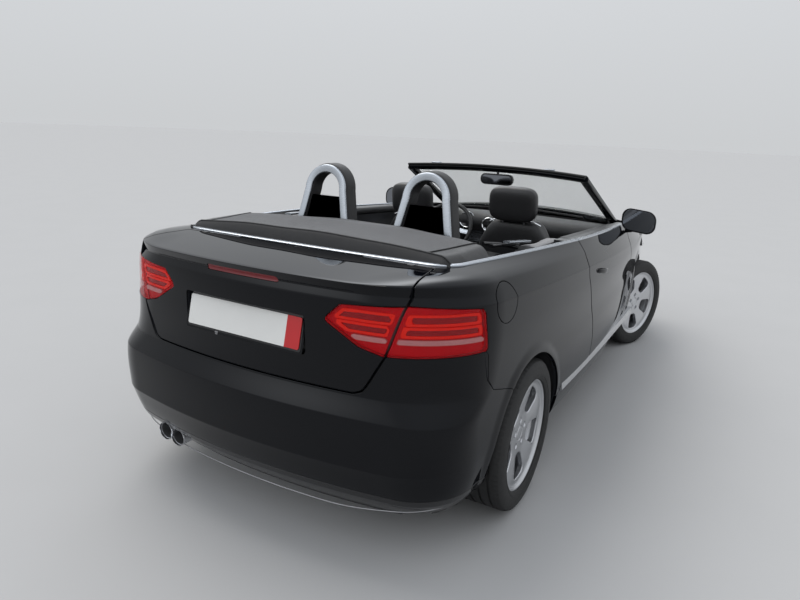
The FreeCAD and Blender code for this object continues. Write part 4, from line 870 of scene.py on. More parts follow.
# Smooth body as a search tree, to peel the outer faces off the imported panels
right_skin = grid_patch(*surface(stations(0, 6, 0.6), levels("floor", "belt", 0.6)))
left_skin = right_skin.mirrored()
TREE = BVHTree.FromPolygons(
    [tuple(v) for v in right_skin.verts] + [tuple(v) for v in left_skin.verts],
    right_skin.faces + [tuple(i + len(right_skin.verts) for i in f) for f in left_skin.faces])


def within_body(patch):
    """The patch without the faces that lie outside the body's smooth surface."""
    faces = []
    for face in patch.faces:
        centre = Vector(patch.verts[list(face)].mean(0))
        at, facing = TREE.find_nearest(centre)[:2]
        if (centre - at).dot(facing) < 0:
            faces.append(face)
    return Patch(patch.verts, patch.normals, faces, patch.material)


def belt_half(x):
    line = LINES["belt"]
    return SIDE_Y - line.side_in - line.side_r_front + np.sqrt(line.side_r_front ** 2 - (x - WIDEST_X) ** 2)


def bonnet_height(x, y):
    """Height of the bonnet's crowned top."""
    crown = smooth_through(*np.transpose(CROWN), NOSE_X - LINES["belt"].nose_in - x)
    return height("belt", x) + crown * (1 - (y / belt_half(x)) ** 2)


def packed_faces(name, faces, material=0):
    """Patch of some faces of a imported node."""
    verts = np.array([v.co for v in nodes[name].data.vertices]) / MM
    return tidy(Patch(verts, None, faces, material))


def carcass(name, material=1, reach=26.0, facing=0.62, crowned=False, apart_from=None):
    """What a packed panel has inside its outer faces: its edges, inner face, pillars and arms."""
    faces = []
    for face in nodes[name].data.polygons:
        centre = face.center / MM
        found = TREE.find_nearest(centre)
        near = found[3] < reach and found[1].dot(face.normal) > facing
        if crowned and face.normal.z > facing:
            near = near or abs(centre.z - bonnet_height(centre.x, centre.y)) < CROWN_REACH
        if apart_from and apart_from(np.array([[*centre]]) * (1, -np.sign(centre.y), 1)) < 0:
            near = True
        if not near:
            faces.append(tuple(face.vertices))
    return packed_faces(name, faces, material)


def trimmed(patch, *rules, margin=EDGE_R):
    """The patch cut back by rules, short of each by a margin."""
    for rule in rules:
        patch = clip(patch, lambda p, rule=rule: rule(p) + margin)
    return patch


def both_sides(parts):
    """Right-hand patches with their mirror images."""
    return parts + [p.mirrored() for p in parts]


def on_doors(name, parts, materials, replaces=None):
    """A piece on each door, built for the right one and mirrored for the left one."""
    for side in SIDES:
        own = parts if side == "right" else [p.mirrored() for p in parts]
        mesh_object(name + side, own, materials, [replaces + side] if replaces else (),
                    body=side + "_door")


quarter_zone = polygon(QUARTER_LAMP, "xz", 16)
bumper_zone = polygon(REAR_BUMPER, "xz", 10)
lid_lamp_zone = polygon(LID_LAMP, "yz", 14, mirror_y=True)
brake_zone = polygon(BRAKE_LIGHT, "yz", 4)
plate_zone = polygon(((-278, 758), (278, 758), (278, 897), (-278, 897)), "yz", 16)
grille_zone = polygon(GRILLE, "yz", 24)
intake_zone = polygon(INTAKE, "yz", 18, mirror_y=True)
# The same outlines, each held to the end of the car where it is meant
quarter_lamp_cut = overlap(quarter_zone, beyond("y", QUARTER_LAMP_INNER_Y, -1))
lid_lamp_cut = overlap(lid_lamp_zone, beyond("x", LID_LAMP_FRONT_X, -1))
brake_light_cut = overlap(brake_zone, beyond("x", BRAKE_LIGHT_FRONT_X, -1))
grille_cut = overlap(grille_zone, beyond("x", FRONT_AXLE_X + 300))
intake_cut = overlap(intake_zone, beyond("x", FRONT_AXLE_X + 300))


def flap_zone(p):
    """Roughly the signed distance to the oval fuel flap."""
    reach = np.hypot((p[:, 0] - FLAP_X) / FLAP_HALF_LENGTH, (p[:, 2] - FLAP_Z) / FLAP_HALF_HEIGHT)
    return (reach - 1) * FLAP_SCALE


def door_edge(p):
    """How far a point lies ahead of the door's rear edge, measured square to it."""
    z, ahead = np.transpose(DOOR_REAR_EDGE)
    x = REAR_AXLE_X + ahead
    heights = np.arange(z[0], z[-1] + 1, 5.0)
    slope = np.gradient(np.interp(heights, z, x), 5.0)
    lean = np.interp(p[:, 2], heights, slope)
    return (p[:, 0] - np.interp(p[:, 2], z, x)) / np.sqrt(1 + lean ** 2)


# Quarter panels with the fuel flap, rear bumper and doors
quarter_rules = [lambda p: door_edge(p) + GAP + 1.0, beyond("z", SILL_TOP_Z), outside(lid, GAP),
                 outside(arch("rear")), outside(bumper_zone, JOINT), outside(quarter_lamp_cut, JOINT)]
quarter = trimmed(body_patch(0.55, 3.2, "valance", "belt"), *quarter_rules)
quarter = clip(quarter, lambda p: np.minimum(QUARTER_FOOT_Z - p[:, 2], REAR_AXLE_X - p[:, 0]))
flap = rolled(trimmed(quarter, inside(flap_zone, 1.2)), 1.6, 3.0)
quarter_right = rolled(trimmed(quarter, outside(flap_zone, 1.2), margin=1.6))
quarter_inner = carcass("quarter_panels", apart_from=quarter_lamp_cut)
mesh_object("quarter_skin", [quarter_right, rolled(quarter).mirrored(), quarter_inner], [PAINT, PAINT_INNER],
            ["quarter_panels"])
mesh_object("fuel_flap", [flap], [PAINT])

bumper = trimmed(body_patch(0, 2.4, "valance", "lamp", whole="tail"), inside(bumper_zone, JOINT),
                 outside(lid, GAP), outside(arch("rear")))
mesh_object("rear_bumper_skin", [rolled(bumper), carcass("rear_bumper")], [PAINT, PAINT_INNER],
            ["rear_bumper"])

door_rules = [beyond("x", DOOR_FRONT_X, -1), lambda p: -door_edge(p), beyond("z", DOOR_BOTTOM_Z)]
door = rolled(trimmed(body_patch(2.6, 3.6, "valance", "belt"), *door_rules))
for side in SIDES:
    mesh_object("door_skin_" + side, [door if side == "right" else door.mirrored(), carcass("door_" + side)],
                [PAINT, PAINT_INNER], ["door_" + side], body=side + "_door")


def front_top(low):
    """Right half of the front: up the side or nose to the belt, then over the crown to the middle."""
    grid, _ = surface(stations(FRONT_FROM, 6), levels(low, "belt"))
    edge = grid[-1]
    step_up = edge[:, 2] - bonnet_height(edge[:, 0], edge[:, 1])
    over = []
    for share in (1 - np.linspace(0, 1, CROWN_ROWS + 1)[1:] ** 1.35):
        y = edge[:, 1] * share
        over.append(np.column_stack([edge[:, 0], y, bonnet_height(edge[:, 0], y) + step_up * share ** 6]))
    grid = np.concatenate([grid, over])[:, np.abs(edge[:, 1]) > 1.0]
    normals = grid_normals(grid)
    x, y = grid[-CROWN_ROWS - 1:, :, 0], grid[-CROWN_ROWS - 1:, :, 1]
    reach = 5.0
    fall_x = (bonnet_height(x - reach, y) - bonnet_height(x + reach, y)) / (2 * reach)
    fall_y = (bonnet_height(x, y - reach) - bonnet_height(x, y + reach)) / (2 * reach)
    crown = unit(np.stack([fall_x, fall_y, np.ones_like(x)], -1))
    normals[-CROWN_ROWS:] = crown[1:]
    normals[-CROWN_ROWS - 1] = unit(normals[-CROWN_ROWS - 2] + crown[0])
    return grid, normals


wing_top = grid_patch(*front_top("lamp"))
wing_low = body_patch(FRONT_FROM, 5.2, "valance", "lamp")
wing_cut = [beyond("x", WING_REAR_X), beyond("z", SILL_TOP_Z), outside(arch("front")),
            lambda p: np.minimum(FRONT_BUMPER_TOP - p[:, 2], p[:, 0] - FRONT_BUMPER_X) + JOINT,
            lambda p: np.minimum(p[:, 0] - FRONT_LAMP_X, lamp_top(p[:, 0]) - p[:, 2]) + JOINT,
            lambda p: np.minimum(p[:, 0] - FRONT_LAMP_X, BONNET_NOSE_HALF + GAP + p[:, 1]),
            lambda p: belt_half(p[:, 0]) - 14 + p[:, 1]]

wing = rolled(trimmed(joined(wing_low, wing_top), *wing_cut))
mesh_object("wing_skin", both_sides([wing]) + [carcass("front_wings")], [PAINT, PAINT_INNER],
            ["front_wings"])

sill = trimmed(body_patch(2.3, 3.8, "floor", "lip"), beyond("z", SILL_TOP_Z, -1),
               beyond("x", REAR_AXLE_X + TYRE_R + 77), beyond("x", FRONT_AXLE_X - TYRE_R - 77, -1))
mesh_object("sill_skin", both_sides([rolled(sill)]) + [carcass("sills")], [PAINT, PAINT_INNER],
            ["sills"])

# Boot lid with its lamps, brake light strip and number plate
LEAN = math.radians(12.8)
PLATE_FOOT = np.array([TAIL_X + 46.0, 0.0, 775.0])
PLATE_UP = np.array([math.sin(LEAN), 0.0, math.cos(LEAN)])
PLATE_OUT = np.array([-math.cos(LEAN), 0.0, math.sin(LEAN)])
PLATE_W, PLATE_H = 520.0, 110.0
PLATE_AXES = ((0.0, -1.0, 0.0), PLATE_UP, PLATE_OUT)
BAND_X = PLATE_W / 2 - 62.0
# Axes of a flat piece that faces the tail
TO_TAIL = ((0, -1, 0), (0, 0, 1), (-1, 0, 0))

lid_sheet = trimmed(body_patch(0, 2.4, "shelf", "belt", whole="tail"), inside(lid))
lid_face = trimmed(lid_sheet, outside(plate_zone), outside(lid_lamp_cut, JOINT))
lid_face = rolled(trimmed(lid_face, outside(brake_light_cut, 0.4), margin=1.0))
mesh_object("boot_lid_skin", [lid_face, carcass("boot_lid", reach=30)], [PAINT, PAINT_INNER],
            ["boot_lid"], body="rear_lid")
strip = trimmed(lid_sheet, inside(brake_light_cut, 0.8), margin=1.0)
mesh_object("high_brake_light", [rolled(shifted(strip, 1.5), 1.0, 8)], [LAMP_DIM],
            body="rear_lid")

plate_middle = PLATE_FOOT + PLATE_UP * PLATE_H / 2
holder = slab((PLATE_W + 12, PLATE_H + 14), 8, 9, 1.5, plate_middle + PLATE_OUT * 0.5, PLATE_AXES)
recess_back = slab((548, 142), 10, 1, 0.5, plate_middle - PLATE_OUT * 1.0, PLATE_AXES, 1)
mesh_object("plate_holder", [holder, recess_back], [GLOSS_PLASTIC, PAINT], body="rear_lid")

plate_ring = rounded_rectangle(PLATE_W, PLATE_H, 7)
plate_parts = []
for k, chosen in enumerate((plate_ring[:, 0] < PLATE_W / 2 - 8, plate_ring[:, 0] > 0)):
    ring = ordered(np.concatenate([plate_ring[chosen], [(BAND_X, -PLATE_H / 2), (BAND_X, PLATE_H / 2)]]))
    plate_parts.append(placed(flat_piece(ring, 2.5, 0.6, k), plate_middle + PLATE_OUT * 4.0, *PLATE_AXES))
mesh_object("number_plate", plate_parts, [PLATE, PLATE_RED], ["rear_plate"], body="rear_lid")
lock = turned([(0.01, 0), (7, 0), (8, -1), (8, -8)], (TAIL_X + 44, 120, 762), (-1, 0, 0.1), 24)
mesh_object("lid_lock", [lock], [STEEL], body="rear_lid")

# Lamps: a clear red cover over rows of dark modules framed by light guides, a clear strip and a red foot
ROWS_AT = ((908, 944), (868, 902))
CLEAR_ROW = (846, 860)
LAMP_ROW_RISE, LAMP_WRAP_X = 0.03, -2060.0


def lamp_level(p):
    """Height on the lamp, levelled so that its rows run along the lamp as it wraps round."""
    return p[:, 2] + LAMP_ROW_RISE * np.maximum(0.0, p[:, 0] - LAMP_WRAP_X)


def lamp_set(name, sheet, rules, body, replaces, outline):
    """Build one lamp on both sides; outline is the signed distance that its insides keep clear of."""
    cover = rolled(trimmed(sheet, *rules), 1.5, 9)
    mesh_object(name + "_cover", both_sides([cover]), [LAMP_COVER], replaces, body=body)
    inner = trimmed(sheet, *rules, margin=EDGE_R + 1.0)
    bed = rolled(shifted(inner, 16.0), 0.5, 1)
    mesh_object(name + "_bed", both_sides([bed]), [LAMP_RED], body=body)

    def band(z0, z1, clear_by):
        """Keeps a row between two levels, clear of the outline."""
        return overlap(lambda p: z0 - lamp_level(p), lambda p: lamp_level(p) - z1, inside(outline, clear_by))

    modules, guides = [], []
    for z0, z1 in ROWS_AT:
        row = clip(inner, band(z0, z1, 16))
        guides.append(inlay(row, 8.0, outside(band(z0 + 6, z1 - 6, 24)), 1.5, 7))
        modules.append(inlay(row, 12.0, band(z0 + 7, z1 - 7, 25), 1.0, 5))
    clear = inlay(inner, 5.0, band(*CLEAR_ROW, 13), 1.5, 8)
    mesh_object(name + "_guides", both_sides(guides), [LAMP_GUIDE], body=body)
    mesh_object(name + "_modules", both_sides(modules), [LAMP_DARK], body=body)
    mesh_object(name + "_clear_strip", both_sides([clear]), [LAMP_CLEAR], body=body)


lamp_set("tail_lamp", body_patch(0.6, 2.3, "lid_foot", "shoulder", 2.2),
         [inside(quarter_lamp_cut, JOINT), outside(lid, GAP)], "car_body", ["tail_lamps"],
         overlap(quarter_zone, outside(lid, GAP)))
lamp_set("lid_lamp", body_patch(0.3, 2.0, "lid_foot", "shoulder", 2.2),
         [inside(lid_lamp_zone, JOINT), inside(lid)], "rear_lid", ["boot_lid_lamps"],
         overlap(lid_lamp_zone, lid))

# Lower valance with its thin bright edge
valance = trimmed(body_patch(0, 2.4, "floor", "lip", whole="tail"), beyond("z", 291, -1), beyond("z", 196),
                  outside(arch("rear")))
mesh_object("valance_skin", [rolled(valance), carcass("rear_valance")], [GLOSS_PLASTIC, PLASTIC],
            ["rear_valance"])
VALANCE_EDGE = ((-3, -3), (-3, -1), (-1, 0), (1, -1), (1, -3))
edge_path = []
for s in stations(0, 1.75, 0.5):
    x, y = plan("valance", np.array([s]), 20.0)[0]
    edge_path.append((x, y, 198.0 + 46.0 * float(smoothstep(-y, 350, 800))))
edge_path = np.array(edge_path)
edge_path = np.concatenate([(edge_path * FLIP)[::-1][:-1], edge_path])
mesh_object("valance_edge", [sweep(edge_path, VALANCE_EDGE, UPRIGHT)], [STEEL])

# Bright strip along the belt: inset from the belt's outline and lift over it
STRIP = ((0, 0), (0, 3), (2, 5.2), (8, 6.6), (11.5, 5.6), (12.5, 3.4), (14, 3.4),
         (15, 5.8), (19, 7), (24, 6.4), (26, 4.6), (26, 0))


def belt_strip(s):
    """Rings of the strip along the belt at stations s."""
    rows = []
    for inset, lift in STRIP:
        points = plan("belt", s, inset)
        rows.append(np.column_stack([points, height("belt", points[:, 0]) + lift]))
    return np.array(rows).transpose(1, 0, 2)


def station_of(x):
    """Station where the belt's right side reaches x."""
    s = stations(1.6, 4.4, 2)
    return float(np.interp(x, plan("belt", s)[:, 0], s))


rear_strip = belt_strip(stations(0, station_of(DOOR_REAR_X - GAP)))
ring = np.concatenate([(rear_strip * FLIP)[::-1][:-1], rear_strip])
mesh_object("belt_strip", [ring_loft(list(ring))], [ALUMINIUM], ["belt_trim"])
door_strip = ring_loft(list(belt_strip(stations(station_of(DOOR_REAR_X + 1), station_of(DOOR_FRONT_X - 6)))))
on_doors("door_strip_", [door_strip], [ALUMINIUM])

# Folded hood: height field with a dark rear wall, binding and side flaps
PACK_REAR_X, PACK_FRONT_X = STRIP_X + 34.0, STRIP_X + 500.0
PACK_TOP, PACK_SIDE = 1106.0, 1080.0
PACK_ROLL = 34.0
PACK_FRONT_CURVE = 165.0
SEAM_Y, SEAM_SPREAD = 530.0, 0.166


def pack_half(x):
    return np.interp(x, (STRIP_X + 34, STRIP_X + 150, STRIP_X + 350, STRIP_X + 530), (628, 655, 665, 640))


def pack_height(x, y):
    share = np.abs(y) / pack_half(x)
    fall = (PACK_TOP - PACK_SIDE) * share ** 2.2 + PACK_ROLL * (np.maximum(0.0, share - 0.92) / 0.08) ** 2
    front = 12.0 * smoothstep(x, PACK_FRONT_X - 150, PACK_FRONT_X)
    ripple = 1.6 * np.sin(x * 0.021 + 0.6 * np.sin(y * 0.011)) + 1.2 * np.sin(y * 0.017 + x * 0.006)
    return PACK_TOP - fall - front + ripple * (1 - share ** 4)


def flap_line(p):
    """Signed distance past the seam of the side flap (right side), positive outboard of it."""
    return np.abs(p[:, 1]) - SEAM_Y - SEAM_SPREAD * (p[:, 0] - PACK_REAR_X)


pack_sheet = height_field(np.linspace(PACK_REAR_X + 26, PACK_FRONT_X, 44), np.linspace(-1, 1, 110),
                          pack_height, pack_half)
pack_sheet = clip(pack_sheet, lambda p: p[:, 0] - PACK_FRONT_X + PACK_FRONT_CURVE * (p[:, 1] / 640) ** 2)
top_sheet = clip(pack_sheet, lambda p: flap_line(p) + 2)
flap_sheet = clip(pack_sheet, lambda p: 2 - flap_line(p))
mesh_object("hood_top", [rolled(top_sheet, 4, 10, 3)], [HOOD], ["hood_pack"])
mesh_object("hood_flaps", [rolled(shifted(flap_sheet, 1.5), 3, 12, 3)], [LEATHER])
wall_rings = []
for y in np.linspace(-1, 1, 90):
    y *= pack_half(PACK_REAR_X + 20)
    top = pack_height(PACK_REAR_X + 26, np.array(y)) - 3
    wall = ((30, top), (22, top), (14, top - 8), (4, 1062), (0, 1048), (6, 1040), (40, 1040))
    wall_rings.append([(PACK_REAR_X + ahead, y, z) for ahead, z in wall])
mesh_object("hood_rear_wall", [ring_loft(wall_rings)], [HOOD_DARK])
piping = [(PACK_REAR_X + 25, y, float(pack_height(PACK_REAR_X + 26, np.array(y))) - 1.0)
          for y in np.linspace(-1, 1, 90) * pack_half(PACK_REAR_X + 26) * 0.995]
seams = [sweep(piping, circle(3.4, 8), FORWARD)]
for sign in (1, -1):
    xs = np.linspace(PACK_REAR_X + 26, PACK_FRONT_X - 132, 40)
    ys = SEAM_Y + SEAM_SPREAD * (xs - PACK_REAR_X)
    seams.append(sweep(np.column_stack([xs, sign * ys, pack_height(xs, ys) + 0.6]), circle(2.6, 8),
                       LEFTWARD))
mesh_object("hood_piping", seams, [HOOD_DARK])

# Roll hoops: black housing, satin band on its rear face, dark filler panel
HOOP_X, HOOP_FOOT_Z, HOOP_TOP_Z, HOOP_R = -1200.0, 996.0, 1336.0, 122.0
HOOP_SPREAD = 166.0
HOOP_RAKE = 0.16


def hoop_path(y, inset, x, foot=HOOP_FOOT_Z, count=22):
    radius = HOOP_R - inset
    spring = HOOP_TOP_Z - HOOP_R
    half = HOOP_SPREAD - inset
    leg = [(x, y - half + (half - radius) * k / 8, foot + (spring - foot) * k / 8) for k in range(8)]
    bend = [(x, y - radius * math.cos(math.pi * k / count), spring + radius * math.sin(math.pi * k / count))
            for k in range(count + 1)]
    other = [(x, 2 * y - p[1], p[2]) for p in reversed(leg)]
    path = np.array(leg + bend + other)
    path[:, 0] -= HOOP_RAKE * (HOOP_TOP_Z - path[:, 2])
    return path


for name, y in (("right", -268.0), ("left", 268.0)):
    path = hoop_path(y, 24, HOOP_X + 52)
    housing = sweep(path, rounded_rectangle(46, 86, 16), -outward_of(path))
    band_at = hoop_path(y, 24, HOOP_X + 8)
    band = sweep(band_at, rounded_rectangle(36, 12, 5), -outward_of(band_at))
    fill_ring = [(p[1] - y, p[2] - HOOP_FOOT_Z) for p in hoop_path(y, 46, HOOP_X)]
    fill_ring = np.array([(u, min(v, 190.0)) for u, v in fill_ring])
    keep = [0]
    for k in range(1, len(fill_ring)):
        if np.linalg.norm(fill_ring[k] - fill_ring[keep[-1]]) > 0.5:
            keep.append(k)
    fill = placed(flat_piece(fill_ring[keep][::-1] * (-1, 1), 30, 3),
                  (HOOP_X + 22 - HOOP_RAKE * (HOOP_TOP_Z - HOOP_FOOT_Z), y, HOOP_FOOT_Z),
                  (0, -1, 0), (HOOP_RAKE, 0, 1), (-1, 0, HOOP_RAKE))
    mesh_object("hoop_housing_" + name, [housing], [PLASTIC],
                ["roll_hoops"] if name == "right" else ())
    mesh_object("hoop_band_" + name, [band], [ALUMINIUM])
    mesh_object("hoop_filler_" + name, [fill], [PLASTIC])

# Bonnet: the nose face and the crowned top as one sheet, both sides joined down the middle
bonnet_grid, bonnet_normals = front_top("lid_foot")
bonnet_normals[-1] = unit(bonnet_normals[-1] * (1, 0, 1))
right_top = grid_patch(bonnet_grid, bonnet_normals)
nose_rows = slice(0, len(bonnet_grid) - CROWN_ROWS)
nose_edge, nose_normals = bonnet_grid[nose_rows, -1], bonnet_normals[nose_rows, -1]
nose_middle = grid_patch(np.stack([nose_edge, nose_edge * FLIP], 1),
                         np.stack([nose_normals, nose_normals * FLIP], 1))
bonnet_sheet = joined(right_top, right_top.mirrored(), nose_middle)
bonnet_rules = [lambda p: np.minimum(np.abs(p[:, 1]) - (belt_half(p[:, 0]) - BONNET_EDGE),
                                     np.maximum(FRONT_LAMP_X + GAP - p[:, 0],
                                                np.abs(p[:, 1]) - BONNET_NOSE_HALF)),
                lambda p: np.maximum(lamp_top(p[:, 0]) + GAP, BONNET_FOOT_Z) - p[:, 2],
                lambda p: BONNET_REAR_R - np.hypot(p[:, 0] - (BONNET_REAR_X - BONNET_REAR_R), p[:, 1])]
bonnet = rolled(trimmed(bonnet_sheet, *bonnet_rules))
mesh_object("bonnet_skin", [bonnet, carcass("bonnet", crowned=True)], [PAINT, PAINT_INNER],
            ["bonnet"], body="bonnet_lid")

# Front bumper with its intakes, the grille and the head lamps
nose_sheet = body_patch(3.9, 6, "floor", "lid_foot", whole="nose")
front_bumper = trimmed(nose_sheet, beyond("x", FRONT_BUMPER_X), beyond("z", 190),
                       beyond("z", FRONT_BUMPER_TOP, -1), outside(arch("front")),
                       outside(grille_cut), outside(intake_cut))
mesh_object("front_bumper_skin", [rolled(front_bumper, depth=16), carcass("front_bumper", reach=34)],
            [PAINT, PAINT_INNER], ["front_bumper"])
intake_sheet = clip(nose_sheet, inside(intake_cut, -2))
intake = [rolled(shifted(intake_sheet, 22), 0.5, 3)]
for z in range(312, 401, 22):
    intake.append(inlay(intake_sheet, 10, near_height(z, 3.5), 1.0, 9))
mesh_object("intake_inserts", intake, [PLASTIC])

grille_sheet = body_patch(4.6, 6, "valance", "tornado", 1.3, whole="nose")
grille_face = trimmed(grille_sheet, inside(grille_cut, JOINT), margin=1.0)
grille_frame = rolled(clip(grille_face, outside(grille_zone, -15)), 3.0, 24)
grille_back = rolled(shifted(grille_face, 34), 0.5, 3)
bars = []
for z in np.linspace(362, 662, 9):
    bars.append(inlay(grille_face, 9, overlap(near_height(z, 5), inside(grille_zone, 12)), 2.0, 14))
mesh_object("grille_frame", [grille_frame], [ALUMINIUM], ["front_grille"])
mesh_object("grille_bars", bars + [grille_back.painted(1)], [GLOSS_PLASTIC, PLASTIC])

lamp_sheet = body_patch(3.9, 6, "shelf", "tornado", 1.6)
head_rules = [beyond("x", FRONT_LAMP_X), beyond("z", FRONT_BUMPER_TOP + JOINT),
              lambda p: p[:, 2] - lamp_top(p[:, 0]) + JOINT, lambda p: p[:, 1] - HEAD_LAMP_INNER_Y + JOINT]
head_cover = rolled(trimmed(lamp_sheet, *head_rules, margin=1.5), 1.5, 12)
head_mouth = trimmed(lamp_sheet, *head_rules, margin=2.5)
bucket = rolled(head_mouth, 1.0, HEAD_LAMP_DEPTH)
walls = within_body(Patch(bucket.verts, bucket.normals, bucket.faces[len(head_mouth.faces):]))
bed = within_body(shifted(head_mouth, HEAD_LAMP_DEPTH + 1))
running_strip = inlay(trimmed(lamp_sheet, *head_rules, margin=4), 8, beyond("z", FRONT_BUMPER_TOP + 16, -1),
                      1.5, 14)
mesh_object("head_lamp_cover", both_sides([head_cover]), [HEAD_COVER], ["headlamps"])
mesh_object("head_lamp_bed", both_sides([bed, walls]), [HEAD_BEZEL])
mesh_object("head_lamp_running_strip", both_sides([running_strip]), [REFLECTOR])
BOWL = np.array([(0.01, -34), (22, -32), (38, -18), (46, 0), (50, 12), (53, 12), (53, -30)])
LENS = np.array([(0.01, 4), (16, 1), (27, -9), (30, -22)])
BOWL_FACING = unit(np.array((1.0, -0.12, 0.0)))
bowls, lenses = [], []
for y, z, size in ((-400, 654, 0.86), (-508, 656, 0.86), (-606, 660, 0.7)):
    near = np.hypot(head_mouth.verts[:, 1] - y, head_mouth.verts[:, 2] - z).argmin()
    at = head_mouth.verts[near] - head_mouth.normals[near] * 50
    bowls.append(turned(BOWL * size, at, BOWL_FACING, 40))
    lenses.append(turned(LENS * size, at, BOWL_FACING, 32, 1))
mesh_object("head_lamp_bowls", both_sides(bowls + lenses), [REFLECTOR, CHROME])

# Wheels: a drop-centre barrel, a dished face with five bean-shaped openings, bolts and a plain cap
RIM_FACE_Y = -84.0
HOLE_COUNT, HOLE_IN_R, HOLE_OUT_R = 5, 94.0, 198.0
HOLE_HALF_IN, HOLE_HALF_OUT, HOLE_CORNER_R = 32.0, 60.0, 26.0
HOLE_PITCH = 2 * math.pi / HOLE_COUNT
FIRST_HOLE, FIRST_SPOKE = math.radians(126), math.radians(162)
BOLT_ANGLES = [math.radians(90 + 72 * k) for k in range(HOLE_COUNT)]
BOLT_RING_R, BOLT_Y = 56.0, -50.0
REAR_HALF_TRACK, FRONT_HALF_TRACK, KINGPIN_Y = 753.5, 767.0, 707.0
PARKED_TURN = math.radians(-20.0)
AXIS = (0.0, -1.0, 0.0)


def bean(angle, radius):
    """Signed distance to the nearest opening: a bean that bends round the wheel's axis."""
    turn = (angle - FIRST_HOLE + HOLE_PITCH / 2) % HOLE_PITCH - HOLE_PITCH / 2
    half = HOLE_HALF_IN + (HOLE_HALF_OUT - HOLE_HALF_IN) * (radius - HOLE_IN_R) / (HOLE_OUT_R - HOLE_IN_R)
    past_side = radius * np.abs(turn) - (half - HOLE_CORNER_R)
    past_end = np.abs(radius - (HOLE_IN_R + HOLE_OUT_R) / 2) - ((HOLE_OUT_R - HOLE_IN_R) / 2 - HOLE_CORNER_R)
    corner = np.hypot(np.maximum(past_side, 0), np.maximum(past_end, 0))
    return corner + np.minimum(np.maximum(past_side, past_end), 0) - HOLE_CORNER_R


def wheel_face():
    """Outer face of the rim in wheel axes: y is the axle, the outside is -y."""
    radii = np.concatenate([np.linspace(36, 80, 14), np.linspace(84, 214, 38)[:-1],
                            np.linspace(214, 231, 7)])
    angles = np.linspace(0, 2 * math.pi, 181)[:-1]
    r, a = np.meshgrid(radii, angles, indexing="ij")
    dish = RIM_FACE_Y + 12 * (1 - smoothstep(r, 80, 205))
    ring_share = smoothstep(r, 70, 120) * (1 - smoothstep(r, 190, 216))
    swell = -3.0 * np.cos(HOLE_COUNT * (a - FIRST_SPOKE)) * ring_share
    y = dish + swell - 9.0 * smoothstep(r, 212, 229)
    grid = np.stack([r * np.cos(a), y, r * np.sin(a)], -1)
    normals = grid_normals(np.concatenate([grid, grid[:, :1]], 1))[:, :-1]
    if normals[..., 1].mean() > 0:
        normals = -normals
    return Patch(grid, normals, row_faces(*grid.shape[:2]))


def facing_out(patch):
    """Turn faces so that their order agrees with the normals."""
    f = patch.faces[len(patch.faces) // 2]
    a, b, c = (patch.verts[i] for i in f[:3])
    if np.cross(b - a, c - a) @ patch.normals[f[0]] < 0:
        patch.faces = [tuple(reversed(f)) for f in patch.faces]
    return patch


face = facing_out(wheel_face())
bolt_ring = np.array([(BOLT_RING_R * math.cos(a), BOLT_RING_R * math.sin(a)) for a in BOLT_ANGLES])


def to_bolts(p):
    """Distance to the nearest bolt."""
    return np.min(np.hypot(p[:, None, 0] - bolt_ring[:, 0], p[:, None, 2] - bolt_ring[:, 1]), 1)


pierced = clip(face, lambda p: 5.0 - bean(np.arctan2(p[:, 2], p[:, 0]), np.hypot(p[:, 0], p[:, 2])))
plate = rolled(clip(pierced, lambda p: 17.0 - to_bolts(p)), 5.0, 17, 3)
BARREL = ((231.8, 97), (224, 97.5), (219, 92), (213, 70), (205, 40), (205, -26), (214, -50), (221, -78),
          (222, -88))
LIP = ((221, 84), (224, 93), (229, 97.3), (234, 97.8), (238, 95.5), (240, 91), (238, 86), (231, 84))
HUB = ((0.01, 72.5), (24, 72.5), (29, 71.5), (31, 69), (31, 60))
CAP_RING = ((31.5, 62), (31.5, 68), (33, 71), (36, 72), (39, 70.5))
rim_pieces = [plate, turned(BARREL, (0, 0, 0), (0, 1, 0), 90), turned(LIP, (0, 0, 0), AXIS, 120),
              turned(HUB, (0, 0, 0), AXIS, 48), turned(CAP_RING, (0, 0, 0), AXIS, 48)]
bolt_places = [(x, BOLT_Y, z) for x, z in bolt_ring]
rim_pieces += [turned([(11, 0), (11.5, 19), (13, 21.5), (14.5, 22)], at, AXIS, 24) for at in bolt_places]
rim_pieces += [turned([(0.01, 10), (7.5, 10), (9.0, 8), (9.0, 0)], at, AXIS, 6, 1) for at in bolt_places]

# Tyres: a side wall with a raised ring, four grooves round the tread and lugs on its shoulders
TREAD_R, GROOVE_DEPTH, LUG_COUNT, LUG_HALF = TYRE_R - 0.4, 7.5, 80, 7.5
SIDE_WALL = ((232.2, 100), (236, 106), (246, 110.5), (262, 112.0), (281, 111.5), (297, 107.5), (308, 99.5),
             (313.5, 92), (316.5, 84))
tyre_profile = list(SIDE_WALL)
for y in (62.0, 21.0, -21.0, -62.0):
    tyre_profile += [(TREAD_R, y + 5.5), (TREAD_R - GROOVE_DEPTH, y + 4.5),
                     (TREAD_R - GROOVE_DEPTH, y - 4.5), (TREAD_R, y - 5.5)]
tyre_profile += [(r, -y) for r, y in reversed(SIDE_WALL)]
tyre_pieces = [turned(tyre_profile, (0, 0, 0), (0, 1, 0), 160),
               turned([(250, 111.2), (251, 112.4), (252, 111.4)], (0, 0, 0), AXIS, 90)]
